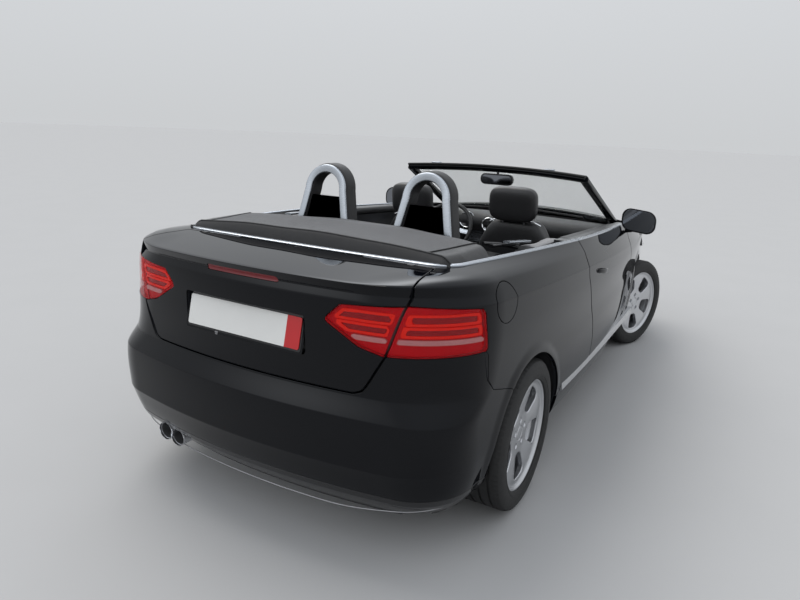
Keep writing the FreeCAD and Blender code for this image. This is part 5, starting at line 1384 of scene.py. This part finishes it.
for k in range(LUG_COUNT):
    for sign in (-1, 1):
        angle = 2 * math.pi * k / LUG_COUNT + sign * 0.012
        out = np.array([math.cos(angle), 0, math.sin(angle)])
        along = np.array([-math.sin(angle), 0, math.cos(angle)])
        verts = []
        for r, y in ((TYRE_R - 7.2, 100), (TYRE_R - 0.2, 84), (TYRE_R - 0.2, 70)):
            at = out * r + (0, sign * y, 0)
            verts += [at - along * LUG_HALF, at + along * LUG_HALF]
        tyre_pieces.append(Patch(verts, None, [(0, 1, 3, 2), (2, 3, 5, 4)]))
disc_pieces = [turned([(60, 32), (165, 32), (168, 29), (168, 7), (165, 4), (60, 4)], (0, 0, 0), AXIS, 72),
               turned([(0.01, 50), (70, 50), (74, 46), (74, 30)], (0, 0, 0), AXIS, 48)]


def at_wheel(patch, wheel):
    """A right-hand wheel's piece at its place, turned about the kingpin where the wheel steers."""
    end, side = wheel.split("_")
    sign = -1.0 if side == "right" else 1.0
    axle_x, half_track, turn = REAR_AXLE_X, REAR_HALF_TRACK, 0.0
    if end == "front":
        axle_x, half_track, turn = FRONT_AXLE_X, FRONT_HALF_TRACK, PARKED_TURN
    kingpin = np.array([axle_x, sign * KINGPIN_Y, 0.0])
    place = np.array([axle_x, sign * half_track, AXLE_Z])
    spin = np.array([[math.cos(turn), -math.sin(turn), 0], [math.sin(turn), math.cos(turn), 0], [0, 0, 1.0]])
    own = patch if side == "right" else patch.mirrored()
    normals = None if own.normals is None else own.normals @ spin.T
    return Patch((own.verts + place - kingpin) @ spin.T + kingpin, normals, own.faces, own.material)


WHEEL_PARTS = (("alloy_", rim_pieces, [WHEEL, CHROME], "rim_", "wheel_silver", 40),
               ("tread_", tyre_pieces, [TYRE], "tyre_", "tyre", 30),
               ("disc_", disc_pieces, [STEEL], None, "steel", 40))
for wheel in ("rear_right", "rear_left", "front_right", "front_left"):
    for name, parts, finishes, node, slot, sharp in WHEEL_PARTS:
        mesh_object(name + wheel, [at_wheel(p, wheel) for p in parts], finishes,
                    [node + wheel] if node else (), body="wheel_" + wheel, sharp=sharp)

# Sill blades, bright along their top
blade_path = [(x, -SIDE_Y + 22 + 14 * ((x + 100) / 1100) ** 2, 352 - 0.02 * x)
              for x in np.linspace(-905, 850, 60)]
blade = sweep(blade_path, ((-3, -34), (16, -30), (20, 4), (12, 10), (-3, 9)), (0, -1.0, 0))
mesh_object("sill_blades", both_sides([blade]), [WHEEL])

# Tail pipe tips
tips = [turned([(37.5, 0), (39, -3), (39, -60), (36.5, -60), (36.5, -3), (37.5, 0)], (TAIL_X + 80, y, z),
               (-1, 0, 0), 40)
        for y, z in ((403, 238), (472, 247))]
mesh_object("tail_pipe_tips", tips, [CHROME])

# Door handles, bowed outwards between their feet
HANDLE_X, HANDLE_Z, HANDLE_LENGTH, HANDLE_FALL = -440.0, 852.0, 232.0, 34.0
handle_rings = []
for u in np.linspace(0, 1, 17):
    bow = math.sin(math.pi * u)
    y = -SIDE_Y + 10.5 - 16 * bow ** 0.6
    half = 5 + 9 * bow ** 0.5
    handle_rings.append([(HANDLE_X + HANDLE_LENGTH * u, y - 5 * math.cos(a) * (0.4 + bow),
                          HANDLE_Z - HANDLE_FALL * u + half * math.sin(a))
                         for a in np.linspace(0, 2 * math.pi, 17)[:-1]])
on_doors("door_handle_", [ring_loft(handle_rings)], [PAINT])

# Windscreen: frame with rounded pillars and header, glass, seals and catches
HEADER_X, HEADER_Z, HEADER_SIDE = 262.0, 1300.0, (196.0, 612.0, 1278.0)
SCREEN_BASE_X, SCREEN_BASE_Z = FRONT_AXLE_X - 154.0, 962.0
SCREEN_SIDE = (FRONT_AXLE_X - 239.0, 672.0, 930.0)


def arc3(share, side, middle_x, middle_z):
    """Point on the arc from side to side through the middle; share is -1 at the right, 1 at the left."""
    x, y, z = side
    rise = np.array([middle_x - x, middle_z - z])
    sagitta = np.linalg.norm(rise)
    radius = (y * y + sagitta ** 2) / (2 * sagitta)
    half = math.asin(y / radius)
    angle = share * half
    along = (radius * np.cos(angle) - (radius - sagitta)) / sagitta
    return np.stack([x + rise[0] * along, radius * np.sin(angle), z + rise[1] * along], -1)


def screen_point(across, down):
    """Point of the windscreen surface: across -1..1, down 0 at the header and 1 at the base."""
    across, down = np.asarray(across, float), np.asarray(down, float)
    head = arc3(across, HEADER_SIDE, HEADER_X, HEADER_Z)
    base = arc3(across, SCREEN_SIDE, SCREEN_BASE_X, SCREEN_BASE_Z)
    return head * (1 - down[..., None]) + base * down[..., None]


PILLAR_SHARE, GLASS_SHARE, HEADER_SHARE = 0.962, 0.915, 0.985
FRAME_FOOT_Z = 985.0
pillar_path = [screen_point(-PILLAR_SHARE, d) - (0, 0, 19) for d in np.linspace(0.02, 1.0, 24)]
pillar = sweep(pillar_path, rounded_rectangle(50, 40, 14), LEFTWARD)
header_path = [screen_point(a, 0.018) + (6, 0, -17) for a in np.linspace(-HEADER_SHARE, HEADER_SHARE, 60)]
header = sweep(header_path, rounded_rectangle(56, 36, 13), (1.0, 0, -0.45))
seal_path = [screen_point(a, 0.0) + (-12, 0, -6) for a in np.linspace(-0.98, 0.98, 60)]
frame_seal = sweep(seal_path, circle(7, 10), FORWARD, 1)
frame_foot = carcass("windscreen_frame", 0, apart_from=lambda p: FRAME_FOOT_Z - p[:, 2])
mesh_object("screen_frame", [header, frame_seal, frame_foot] + both_sides([pillar]), [PAINT, RUBBER],
            ["windscreen_frame"])
across, down = np.meshgrid(np.linspace(-GLASS_SHARE, GLASS_SHARE, 40), np.linspace(0.045, 0.985, 24))
screen = rolled(upright(screen_point(across, down) - (0, 0, 4)), 0.8, 3, 2, 5.0)
mesh_object("screen_glass", [screen], [GLASS], ["windscreen_glass"])
seal_line = [screen_point(a, 0.985) - (0, 0, 0.5) for a in np.linspace(-GLASS_SHARE, GLASS_SHARE, 50)]
seal = sweep(seal_line, rounded_rectangle(20, 5, 2), (1.0, 0, 0.2))
mesh_object("screen_seal", [seal], [RUBBER])
CATCH_AXES = ((0, 1, 0), (-1, 0, -0.1), (0, 0, 1))
catches = [slab((62, 26), 6, 7, 2, screen_point(y / HEADER_SIDE[1], 0.0) + (6, 0, 7.5), CATCH_AXES)
           for y in (-363.0, 408.0)]
mesh_object("hood_catches", catches, [ALUMINIUM])

# Wipers, parked along the foot of the windscreen
wipers = []
for y0, y1 in ((-420, 120), (60, 560)):
    path = [(SCREEN_BASE_X - 26 - 70 * abs(y / 560) ** 2, y, SCREEN_BASE_Z - 18 - 22 * abs(y / 560))
            for y in np.linspace(y0, y1, 16)]
    wipers.append(sweep(path, rounded_rectangle(9, 14, 3), FORWARD))
mesh_object("wipers", wipers, [PLASTIC])

# Door mirrors: a rounded housing with a mirror glass facing the tail
MIRROR_X = DOOR_FRONT_X - 106.0
MIRROR_Y, MIRROR_Z = -880.0, 1000.0
shell_rings = []
for k in range(15):
    u = k / 14
    size = (1 - u ** 3.2) ** 0.5 if u < 1 else 0.0
    half_w, half_h = 30 + 74 * size, 16 + 56 * size
    ring = rounded_rectangle(2 * half_w, 2 * half_h, min(half_w, half_h) * 0.78, 6)
    shell_rings.append([(MIRROR_X + 3 + 90 * u, MIRROR_Y + a, MIRROR_Z + b + 0.1 * a - 6 * u)
                        for a, b in ring])
foot_path = [(MIRROR_X + 50, -800, 926), (MIRROR_X + 48, -836, 934), (MIRROR_X + 46, -872, 946),
             (MIRROR_X + 45, -888, 955)]
mirror_foot = sweep(foot_path, rounded_rectangle(44, 24, 9), FORWARD)
glass_ring = [(a, b - 0.1 * a) for a, b in rounded_rectangle(188, 126, 48, 6)]
mirror_glass = placed(flat_piece(glass_ring, 3, 1, 1), (MIRROR_X + 1.5, MIRROR_Y, MIRROR_Z), *TO_TAIL)
on_doors("door_mirror_", [ring_loft(shell_rings), mirror_foot, mirror_glass], [PAINT, MIRROR],
         "mirror_")

# Interior mirror
inner_housing = slab((216, 62), 28, 18, 5, (301, 0, 1207), TO_TAIL)
inner_glass = slab((204, 52), 24, 2, 0.5, (300, 0, 1207), TO_TAIL, 1)
stalk = sweep([(316, 0, 1228), (322, 0, 1240), (327, 0, 1258), (329, 0, 1271)], circle(8, 12), LEFTWARD)
mesh_object("rear_view_mirror", [inner_housing, inner_glass, stalk], [GLOSS_PLASTIC, MIRROR],
            ["interior_mirror"])


# Front seats: cushions grown from rounded blocks, with bolsters, seams, guides and head rests
def soft_block(centre, half, power, cells, shape=None):
    """Rounded block: a superellipsoid's surface, with a function that pushes its points about."""
    verts = []
    rows, cols = cells
    for i in range(rows + 1):
        v = math.pi * i / rows - math.pi / 2
        for j in range(cols):
            u = 2 * math.pi * j / cols
            direction = np.array([math.cos(v) * math.cos(u), math.cos(v) * math.sin(u), math.sin(v)])
            size = (np.abs(direction) ** power).sum() ** (-1 / power)
            verts.append(direction * size)
    verts = np.array(verts)
    local = verts * np.asarray(half, float)
    if shape:
        local = shape(local, verts)
    return Patch(local + np.asarray(centre, float), None, row_faces(rows + 1, cols))


def tilted(patch, degrees, pivot):
    """Lean a patch back about the Y axis."""
    a = math.radians(degrees)
    turn = np.array([[math.cos(a), 0, math.sin(a)], [0, 1, 0], [-math.sin(a), 0, math.cos(a)]])
    return Patch((patch.verts - pivot) @ turn.T + pivot, None, patch.faces, patch.material)


def groove(distance, width=7):
    """Share of a sewn line's depth at a distance from it."""
    return np.exp(-(distance / width) ** 2)


def bolster_share(share, start, full):
    """Rise of a bolster between two shares of the half width, with a soft outer edge."""
    return smoothstep(share, start, full) * (1 - smoothstep(share, 0.86, 1.0))


def cushion_shape(bolster, channels, width):
    """Raise side bolsters and press in the lines between the middle panel and them."""
    def shape(local, direction):
        share = np.abs(local[:, 1]) / width
        up = direction[:, 2] > 0.1
        local = local.copy()
        local[:, 2] += np.where(up, bolster * bolster_share(share, 0.55, 0.8), 0)
        local[:, 2] -= np.where(up, 5 * groove((share - 0.58) * width), 0)
        for x in channels:
            local[:, 2] -= np.where(up & (share < 0.58), 4.0 * groove(local[:, 0] - x), 0)
        return local
    return shape


def backrest_shape(width):
    """Bring the bolsters forward, narrow the shoulders and press in the channels."""
    def shape(local, direction):
        local = local.copy()
        share = np.abs(local[:, 1]) / width
        front = direction[:, 0] > 0.1
        local[:, 0] += np.where(front, 26 * bolster_share(share, 0.5, 0.78), 0)
        local[:, 0] -= np.where(front, 5 * groove((share - 0.55) * width), 0)
        for z in (-170, -60, 50, 160):
            local[:, 0] -= np.where(front & (share < 0.55), 4.0 * groove(local[:, 2] - z), 0)
        local[:, 1] *= 1 - 0.20 * smoothstep(local[:, 2], 120, 310)
        back = direction[:, 0] < -0.2
        local[:, 0] += np.where(back, 4 * groove((share - 0.72) * width, 6), 0)
        return local
    return shape


def leather_pad(name, patch, replaces=()):
    """A padded piece of the seats."""
    mesh_object(name, [patch], [LEATHER], replaces)


SEATS = {"driver": (-30.0, 345.0, -10.0), "passenger": (-130.0, -345.0, 30.0)}
for who, place in SEATS.items():
    seat = np.array(place)
    cushion = soft_block(seat + (225, 0, 388), (262, 225, 66), 4.2, (34, 68),
                         cushion_shape(20, (-120, -20, 80), 225))
    back = soft_block(seat + (-52, 0, 700), (62, 222, 322), 4.4, (44, 68), backrest_shape(222))
    rest = soft_block(seat + (-172, 0, 1098), (42, 136, 96), 4.0, (28, 52))
    leather_pad("seat_back_" + who, tilted(back, -9.5, seat + (0, 0, 690)),
                ["front_seats"] if who == "driver" else ())
    leather_pad("seat_cushion_" + who, tilted(cushion, -4, seat + (0, 0, 388)))
    leather_pad("head_rest_" + who, tilted(rest, -9, seat + (-172, 0, 1098)))
    posts = [sweep([seat + (-146, y, 985), seat + (-160, y, 1030), seat + (-166, y, 1060)], circle(6, 12),
                   LEFTWARD)
             for y in (-62, 62)]
    guides = [turned([(9, 0), (16, 1), (17, 5), (9, 7)], seat + (-146, y, 1000), (-0.17, 0, 1), 24)
              for y in (-62, 62)]
    loop = sweep([seat + (-118, -150, 985), seat + (-128, -110, 1003), seat + (-128, 110, 1003),
                  seat + (-118, 150, 985)], circle(4, 8), FORWARD)
    mesh_object("seat_posts_" + who, posts + guides + [loop], [CHROME])
    ground = seat * (1, 1, 0)
    rails = [sweep([ground + (20, y, 190), ground + (420, y, 190)], rounded_rectangle(40, 36, 5),
                   LEFTWARD)
             for y in (-170, 170)]
    base = slab((400, 380), 30, 120, 8, seat + (220, 0, 330), np.eye(3))
    mesh_object("seat_base_" + who, rails + [base], [PLASTIC])

# Rear seat: two shaped places under one backrest
HEEL_X = REAR_AXLE_X + 329.0
for name, y in (("right", -275.0), ("left", 275.0)):
    pad = soft_block((HEEL_X + 270, y, 428), (222, 262, 76), 4.5, (30, 68),
                     cushion_shape(12, (-60, 60), 262))
    rear_back = soft_block((HEEL_X + 12, y, 705), (52, 262, 258), 4.8, (38, 68), backrest_shape(262))
    leather_pad("rear_cushion_" + name, pad, ["rear_seat"] if name == "right" else ())
    leather_pad("rear_backrest_" + name, tilted(rear_back, -6, (HEEL_X + 12, y, 705)))

# Steering wheel: leather ring, three spokes, a plain boss and the shaft
HELM_AT = np.array([330.0, 345.0, 850.0])
COLUMN_FALL = 0.42
ALONG = unit(np.array([1.0, 0.0, -COLUMN_FALL]))
SIDEWAYS = np.array([0.0, 1.0, 0.0])
UPWARD = np.cross(ALONG, SIDEWAYS) * -1
HELM_R = 172.0


def helm_direction(angle):
    """Direction across the steering wheel's plane."""
    return SIDEWAYS * math.cos(angle) + UPWARD * math.sin(angle)


ring_path = [HELM_AT + HELM_R * helm_direction(2 * math.pi * k / 72) for k in range(72)]
wheel_ring = sweep(ring_path + ring_path[:1], circle(13.6, 14), ALONG, 0, cap=False)
boss = slab((128, 112), 44, 26, 8, HELM_AT - ALONG * 9, (SIDEWAYS, UPWARD, -ALONG), steps=6)
spokes = []
for angle in (8, 172, 270):
    out = helm_direction(math.radians(angle))
    spokes.append(sweep([HELM_AT + out * r for r in (48, 110, 168)], rounded_rectangle(34, 12, 5),
                        np.cross(out, ALONG), 1))
shaft = sweep([HELM_AT, HELM_AT + ALONG * 145], circle(13.5, 16), SIDEWAYS, 2)
mesh_object("helm", [wheel_ring, boss, shaft] + spokes, [LEATHER, ALUMINIUM, STEEL],
            ["steering_wheel"], body="steering")

# Dashboard, door cards and the ledges beside the rear seat
DASH_REAR_X = FRONT_AXLE_X - 739.0
DASH_HALF = 660.0
DOOR_CARD_Y = 699.0
# Over the dashboard: distance ahead of its rear edge, height against its top, share of the dials' hood
DASH_TOP = ((262, -2, 0), (150, 2, 0.6), (74, -3, 1), (34, -16, 0.9), (12, -40, 0.4), (6, -66, 0),
            (14, -92, 0))
# Down its face: distance ahead of its rear edge, height
DASH_FACE = ((34, 818), (44, 780), (34, 740), (44, 700), (92, 640), (176, 575), (214, 562))


def dash_section(y):
    """Outline of the dashboard at one width: rear lip, padded roll, face and knee roll."""
    share = abs(y) / DASH_HALF
    x = DASH_REAR_X + 26 * share ** 3
    top = 945 - 14 * share ** 2
    dial_hood = 16 * math.exp(-((y - HELM_AT[1]) / 150) ** 2)
    rows = [(296, 884)] + [(ahead, top + over + dial_hood * part) for ahead, over, part in DASH_TOP]
    return [(x + ahead, y, z) for ahead, z in rows + list(DASH_FACE)]


dash_rings = [dash_section(y) for y in np.linspace(-DASH_HALF, DASH_HALF, 90)]
dash_skin = ring_loft(dash_rings, closed=False, cap=False)
dash_ends = [Patch(dash_rings[0], None, [tuple(reversed(range(len(dash_rings[0]))))]),
             Patch(dash_rings[-1], None, [tuple(range(len(dash_rings[-1])))])]


def peeled(name, keep):
    """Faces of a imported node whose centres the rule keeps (negative)."""
    polygons = nodes[name].data.polygons
    chosen = keep(np.array([p.center for p in polygons]) / MM) < 0
    return packed_faces(name, [tuple(p.vertices) for p, c in zip(polygons, chosen) if c])


def past_column(p):
    """Distance past the steering column's shroud."""
    column_z = HELM_AT[2] - COLUMN_FALL * (p[:, 0] - HELM_AT[0])
    return np.hypot(p[:, 1] - HELM_AT[1], p[:, 2] - column_z) - 60


console_rest = peeled("dashboard", lambda p: np.maximum(np.abs(p[:, 1]) - 166, p[:, 2] - 705))
shroud_rest = peeled("dashboard", past_column)
cowl_rest = peeled("dashboard", lambda p: DASH_REAR_X + 262 - p[:, 0])
mesh_object("dashboard_skin", [dash_skin, console_rest, shroud_rest, cowl_rest] + dash_ends, [PLASTIC],
            ["dashboard"], sharp=50)
band = [np.array(dash_section(y)[8:11]) + (-2.0, 0, 0)
        for y in np.linspace(-DASH_HALF + 14, DASH_HALF - 14, 60)]
mesh_object("dashboard_band", [ring_loft(band, closed=False, cap=False)], [ALUMINIUM])
vents = []
VENT_RING = [(47, -2), (50, 2), (46, 5), (41, 1), (41, -14), (0.01, -16)]
for y in (-590, 590, -110, 110):
    at = np.array(dash_section(y)[6]) + (-3, 0, -4)
    vents.append(turned(VENT_RING, at, (-1, 0, 0.15), 36))
    vents.append(turned([(0.01, 3), (10, 3), (12, 0), (12, -6)], at, (-1, 0, 0.15), 20, 1))
    for z in (-22, 0, 22):
        half = math.sqrt(39 ** 2 - z * z)
        vents.append(sweep([at + (1, -half, z), at + (1, half, z)], rounded_rectangle(12, 3, 1), FORWARD, 1))
mesh_object("dashboard_vents", vents, [CHROME, PLASTIC])
DIAL_RIM, DIAL_FACE = ((52, 0), (56, 3), (58, 1), (58, -16)), ((0.01, -3), (52, -3))
dials = [turned(profile, (DASH_REAR_X + 18, HELM_AT[1] + y, 892), (-1, 0, 0.3), 36, k)
         for k, profile in enumerate((DIAL_RIM, DIAL_FACE)) for y in (-62, 62)]
mesh_object("instruments", dials, [CHROME, GLOSS_PLASTIC])
screen_unit = slab((190, 96), 10, 14, 3, (DASH_REAR_X + 26, 0, 806), ((0, -1, 0), (0.1, 0, 1), (-1, 0, 0.1)))
knobs = [turned([(0.01, 16), (13, 16), (15, 13), (15, 0)], (DASH_REAR_X + 30, y, 735), (-1, 0, 0), 24, 1)
         for y in (-70, 0, 70)]
mesh_object("centre_controls", [screen_unit] + knobs, [GLOSS_PLASTIC, ALUMINIUM])
gear = sweep([(210, 0, 425), (214, 0, 470), (206, 0, 505)], circle(7, 12), LEFTWARD, 1)
gear_knob = soft_block((203, 0, 522), (22, 20, 26), 2.6, (14, 24))
gear_boot = ring_loft([[(212 + r * math.cos(a), r * 0.8 * math.sin(a), z)
                        for a in np.linspace(0, 2 * math.pi, 17)[:-1]]
                       for r, z in ((62, 431), (50, 440), (44, 452), (30, 462), (24, 474), (12, 486))])
brake = sweep([(-60, 52, 436), (-90, 52, 448), (-230, 52, 476)], circle(13, 14), LEFTWARD)
mesh_object("gear_lever", [gear_knob, gear_boot, gear], [LEATHER, ALUMINIUM])
mesh_object("hand_brake", [brake], [LEATHER])
leather_pad("centre_armrest", soft_block((-190, 0, 470), (150, 70, 44), 4.5, (20, 40)))

# Door cards: padded top roll, arm rest and pull, riding with each door
CARD_ROWS = ((0, 392), (9, 400), (11, 470), (6, 560), (12, 620), (12, 700), (5, 760), (0, 880), (-4, 930))
PULL_ROWS = ((250, 12, 800), (262, 34, 806), (350, 34, 815), (362, 12, 816))


def belt_z(x):
    return float(height("belt", np.array(x)))


def rest_depth(u):
    """Reach of the arm rest into the cabin, from its rear end to its front end."""
    if u < 0.78:
        return 30 + 34 * math.sin(math.pi * min(1.0, u * 1.25 + 0.05)) ** 0.7
    return 30 + 34 * max(0.0, 1 - (u - 0.78) / 0.22) * 0.6


for side, sign in (("right", -1.0), ("left", 1.0)):
    top_roll = [(x, sign * (DOOR_CARD_Y + 12), belt_z(x) - 22) for x in np.linspace(-560, 560, 40)]
    roll = sweep(top_roll, rounded_rectangle(64, 46, 18), (0, sign, 0))
    rest_rings = []
    for k in range(25):
        u = k / 24
        rest_rings.append([(-330 + 700 * u, sign * (DOOR_CARD_Y - rest_depth(u) + a), 640 + 50 * u + b)
                           for a, b in rounded_rectangle(44, 54, 16)])
    card_rings = [[(x, sign * (DOOR_CARD_Y - inset), z) for inset, z in CARD_ROWS]
                  for x in np.linspace(-395, 560, 30)]
    card = ring_loft(card_rings, closed=False, cap=False)
    pull = sweep([(x, sign * (DOOR_CARD_Y - inset), z) for x, inset, z in PULL_ROWS], circle(7, 10), UPRIGHT)
    mesh_object("door_card_" + side, [roll, ring_loft(rest_rings)], [LEATHER],
                body=side + "_door")
    mesh_object("door_panel_" + side, [card], [PLASTIC], body=side + "_door")
    mesh_object("door_pull_" + side, [pull], [CHROME], body=side + "_door")

# Ledges beside the rear seat, with the folded roof linkage ahead of the hood
TRIM_INNER_Y = 600.0
LEDGE_REAR_X, LEDGE_LENGTH = DOOR_REAR_X - 345.0, 407.0
# Across the ledge: place on the right, height against its top, share of the dip in its middle
LEDGE_ROWS = ((-694, -3, 0), (-690, 0, 0), (-660, 1, 0), (-625, -2, 0.4), (-603, -12, 1), (-600, -30, 1),
              (-599, -180, 0))
ledge_rings = []
for x in np.linspace(LEDGE_REAR_X, LEDGE_REAR_X + LEDGE_LENGTH, 26):
    drop = 22 * math.sin(math.pi * (x - LEDGE_REAR_X) / LEDGE_LENGTH) ** 2
    ring = [(x, y, belt_z(x) - 12.0 + over - drop * part) for y, over, part in LEDGE_ROWS]
    ledge_rings.append(ring + [(x, -603, 500), (x, -640, 420), (x, -694, 400)])
mesh_object("rear_ledges", both_sides([ring_loft(ledge_rings)]), [TRIM_GREY], ["side_trims"],
            sharp=50)
grilles = [turned([(0.01, 2), (46, 3), (52, 1), (54, -2), (54, -6)], (DOOR_REAR_X - 150, -598, 700),
                  (0, 1, 0), 40)]
mesh_object("rear_speakers", both_sides(grilles), [PLASTIC])
bar_a = sweep([(-1080, -604, 1052), (-1000, -622, 1046), (-900, -640, 1038)], rounded_rectangle(34, 9, 3),
              LEFTWARD)
bar_b = sweep([(-1150, -560, 1040), (-1040, -585, 1034), (-930, -600, 1022)], rounded_rectangle(26, 14, 5),
              LEFTWARD, 1)
bar_c = sweep([(-1140, -520, 1044), (-1030, -560, 1030), (-960, -612, 1012)], circle(9, 12), LEFTWARD, 1)
mesh_object("roof_linkage", both_sides([bar_a, bar_b, bar_c]), [ALUMINIUM, GLOSS_PLASTIC])

# Shelf between the hood and the rear seat, and inner trim of the hood well
SHELF_EDGE = ((-1460, 1002), (-1300, 1002), (-1120, 1004), (-1085, 1000), (-1062, 984), (-1056, 950),
              (-1056, 700))
SHELF_RISE = ((-TRIM_INNER_Y + 14, 0), (-300, 7), (0, 9), (300, 7), (TRIM_INNER_Y - 14, 0))
shelf_rings = [[(x, y, z + rise) for y, rise in SHELF_RISE] for x, z in SHELF_EDGE]
mesh_object("rear_shelf", [ring_loft(shelf_rings, closed=False, cap=False)], [CARPET])
well_rings = []
for s in stations(0.2, station_of(DOOR_REAR_X - 340), 0.7):
    outer = plan("belt", np.array([s]), 27.0)[0]
    inner = plan("belt", np.array([s]), 60.0)[0]
    z = belt_z(outer[0])
    well_rings.append([(*outer, z - 1), (*inner, z - 24), (*inner, z - 90)])
well = ring_loft(well_rings, closed=False, cap=False)
mesh_object("hood_well_trim", both_sides([well]), [RUBBER])

# Carried-over nodes get their procedural finishes
CARRIED_OVER = ((UNDER, ("floor_pan",)), (CARPET, ("boot_tub",)), (STEEL, ("exhaust",)),
                (TRIM_GREY, ("side_trims",)),
                (PLASTIC, ("scuttle", "front_wheel_liners", "rear_wheel_liners", "dashboard")),
                (CAST, ("engine_block", "front_subframe", "rear_axle", "knuckle_right", "knuckle_left")))
for finish, names in CARRIED_OVER:
    for name in names:
        for material_slot in nodes[name].material_slots:
            material_slot.material = finish

# Studio: a pale floor that meets an equally pale sky, brighter overhead, and a soft sun from the left
FLOOR_R = 90.0
HORIZON, ZENITH = (0.6, 0.615, 0.63), (0.9, 0.94, 1.0)
# Soft glows of the sky, out of the picture: azimuth, elevation, how narrow, how bright
GLOWS = ((29, 36, 60, 3.5), (150, 28, 26, 1.6))
world = bpy.data.worlds.new("studio")
bpy.context.scene.world = world
world.use_nodes = True
tree = world.node_tree
sky = tree.nodes["Background"]
outwards = tree.nodes.new("ShaderNodeTexCoord").outputs["Generated"]
split = tree.nodes.new("ShaderNodeSeparateXYZ")
link(tree, outwards, split.inputs[0])
blend = tree.nodes.new("ShaderNodeMix")
blend.data_type = "RGBA"
blend.inputs["A"].default_value = (*HORIZON, 1)
blend.inputs["B"].default_value = (*ZENITH, 1)
link(tree, remap(tree, split.outputs["Z"], 0.0, 1.0), blend.inputs["Factor"])
light_so_far = blend.outputs["Result"]
for azimuth, elevation, sharpness, strength in GLOWS:
    towards = tree.nodes.new("ShaderNodeVectorMath")
    towards.operation = "DOT_PRODUCT"
    link(tree, outwards, towards.inputs[0])
    around, climb = math.radians(azimuth), math.radians(elevation)
    towards.inputs[1].default_value = (math.cos(climb) * math.cos(around),
                                       math.cos(climb) * math.sin(around), math.sin(climb))
    spot = tree.nodes.new("ShaderNodeMath")
    spot.operation = "POWER"
    spot.inputs[1].default_value = sharpness
    link(tree, remap(tree, towards.outputs["Value"], 0.0, 1.0), spot.inputs[0])
    added = tree.nodes.new("ShaderNodeMix")
    added.data_type = "RGBA"
    added.blend_type = "ADD"
    added.clamp_result = False
    added.inputs["B"].default_value = (strength, strength * 1.03, strength * 1.07, 1)
    link(tree, spot.outputs[0], added.inputs["Factor"])
    link(tree, light_so_far, added.inputs["A"])
    light_so_far = added.outputs["Result"]
link(tree, light_so_far, sky.inputs["Color"])


def aimed(obj, location, target):
    obj.location = location
    obj.rotation_mode = "QUATERNION"
    obj.rotation_quaternion = (Vector(target) - Vector(location)).to_track_quat("-Z", "Y")
    bpy.context.scene.collection.objects.link(obj)


sun = bpy.data.lights.new("soft_sun", "SUN")
sun.energy = 1.3
sun.angle = math.radians(40)
sun.color = (1.0, 0.97, 0.93)
aimed(bpy.data.objects.new("soft_sun", sun), (1.5, 4.0, 6.5), (0, 0, 0))

floor_ring = [(FLOOR_R * math.cos(2 * math.pi * k / 96), FLOOR_R * math.sin(2 * math.pi * k / 96), 0.0)
              for k in range(96)]
floor_mesh = bpy.data.meshes.new("studio_floor")
floor_mesh.from_pydata(floor_ring, [], [tuple(range(96))])
floor_mesh.materials.append(material("studio_floor", (0.46, 0.46, 0.46), 0.95, 0.0, 0.02, 2.0, 0.02,
                                     sockets={"Specular IOR Level": 0.0}))
floor = bpy.data.objects.new("studio_floor", floor_mesh)
bpy.context.scene.collection.objects.link(floor)

# Camera fitted to the photograph: place, heading, pitch and roll in degrees, focal length in pixels
CAMERA_AT = (-3.654, -1.527, 1.516)
YAW, PITCH, ROLL = 29.2, -15.41, 2.45
FOCAL_PX = 629.4
yaw, pitch, roll = (math.radians(a) for a in (YAW, PITCH, ROLL))
forward = Vector((math.cos(yaw) * math.cos(pitch), math.sin(yaw) * math.cos(pitch), math.sin(pitch)))
right = forward.cross(Vector((0, 0, 1))).normalized()
up = right.cross(forward)
right, up = right * math.cos(roll) + up * math.sin(roll), up * math.cos(roll) - right * math.sin(roll)
camera = bpy.data.objects.new("camera", bpy.data.cameras.new("camera"))
camera.data.sensor_width = 36.0
camera.data.lens = FOCAL_PX / 800.0 * 36.0
camera.matrix_world = Matrix((
    (right.x, up.x, -forward.x, CAMERA_AT[0]), (right.y, up.y, -forward.y, CAMERA_AT[1]),
    (right.z, up.z, -forward.z, CAMERA_AT[2]), (0, 0, 0, 1)))
bpy.context.scene.collection.objects.link(camera)
bpy.context.scene.camera = camera
bpy.context.scene.view_settings.view_transform = "Standard"
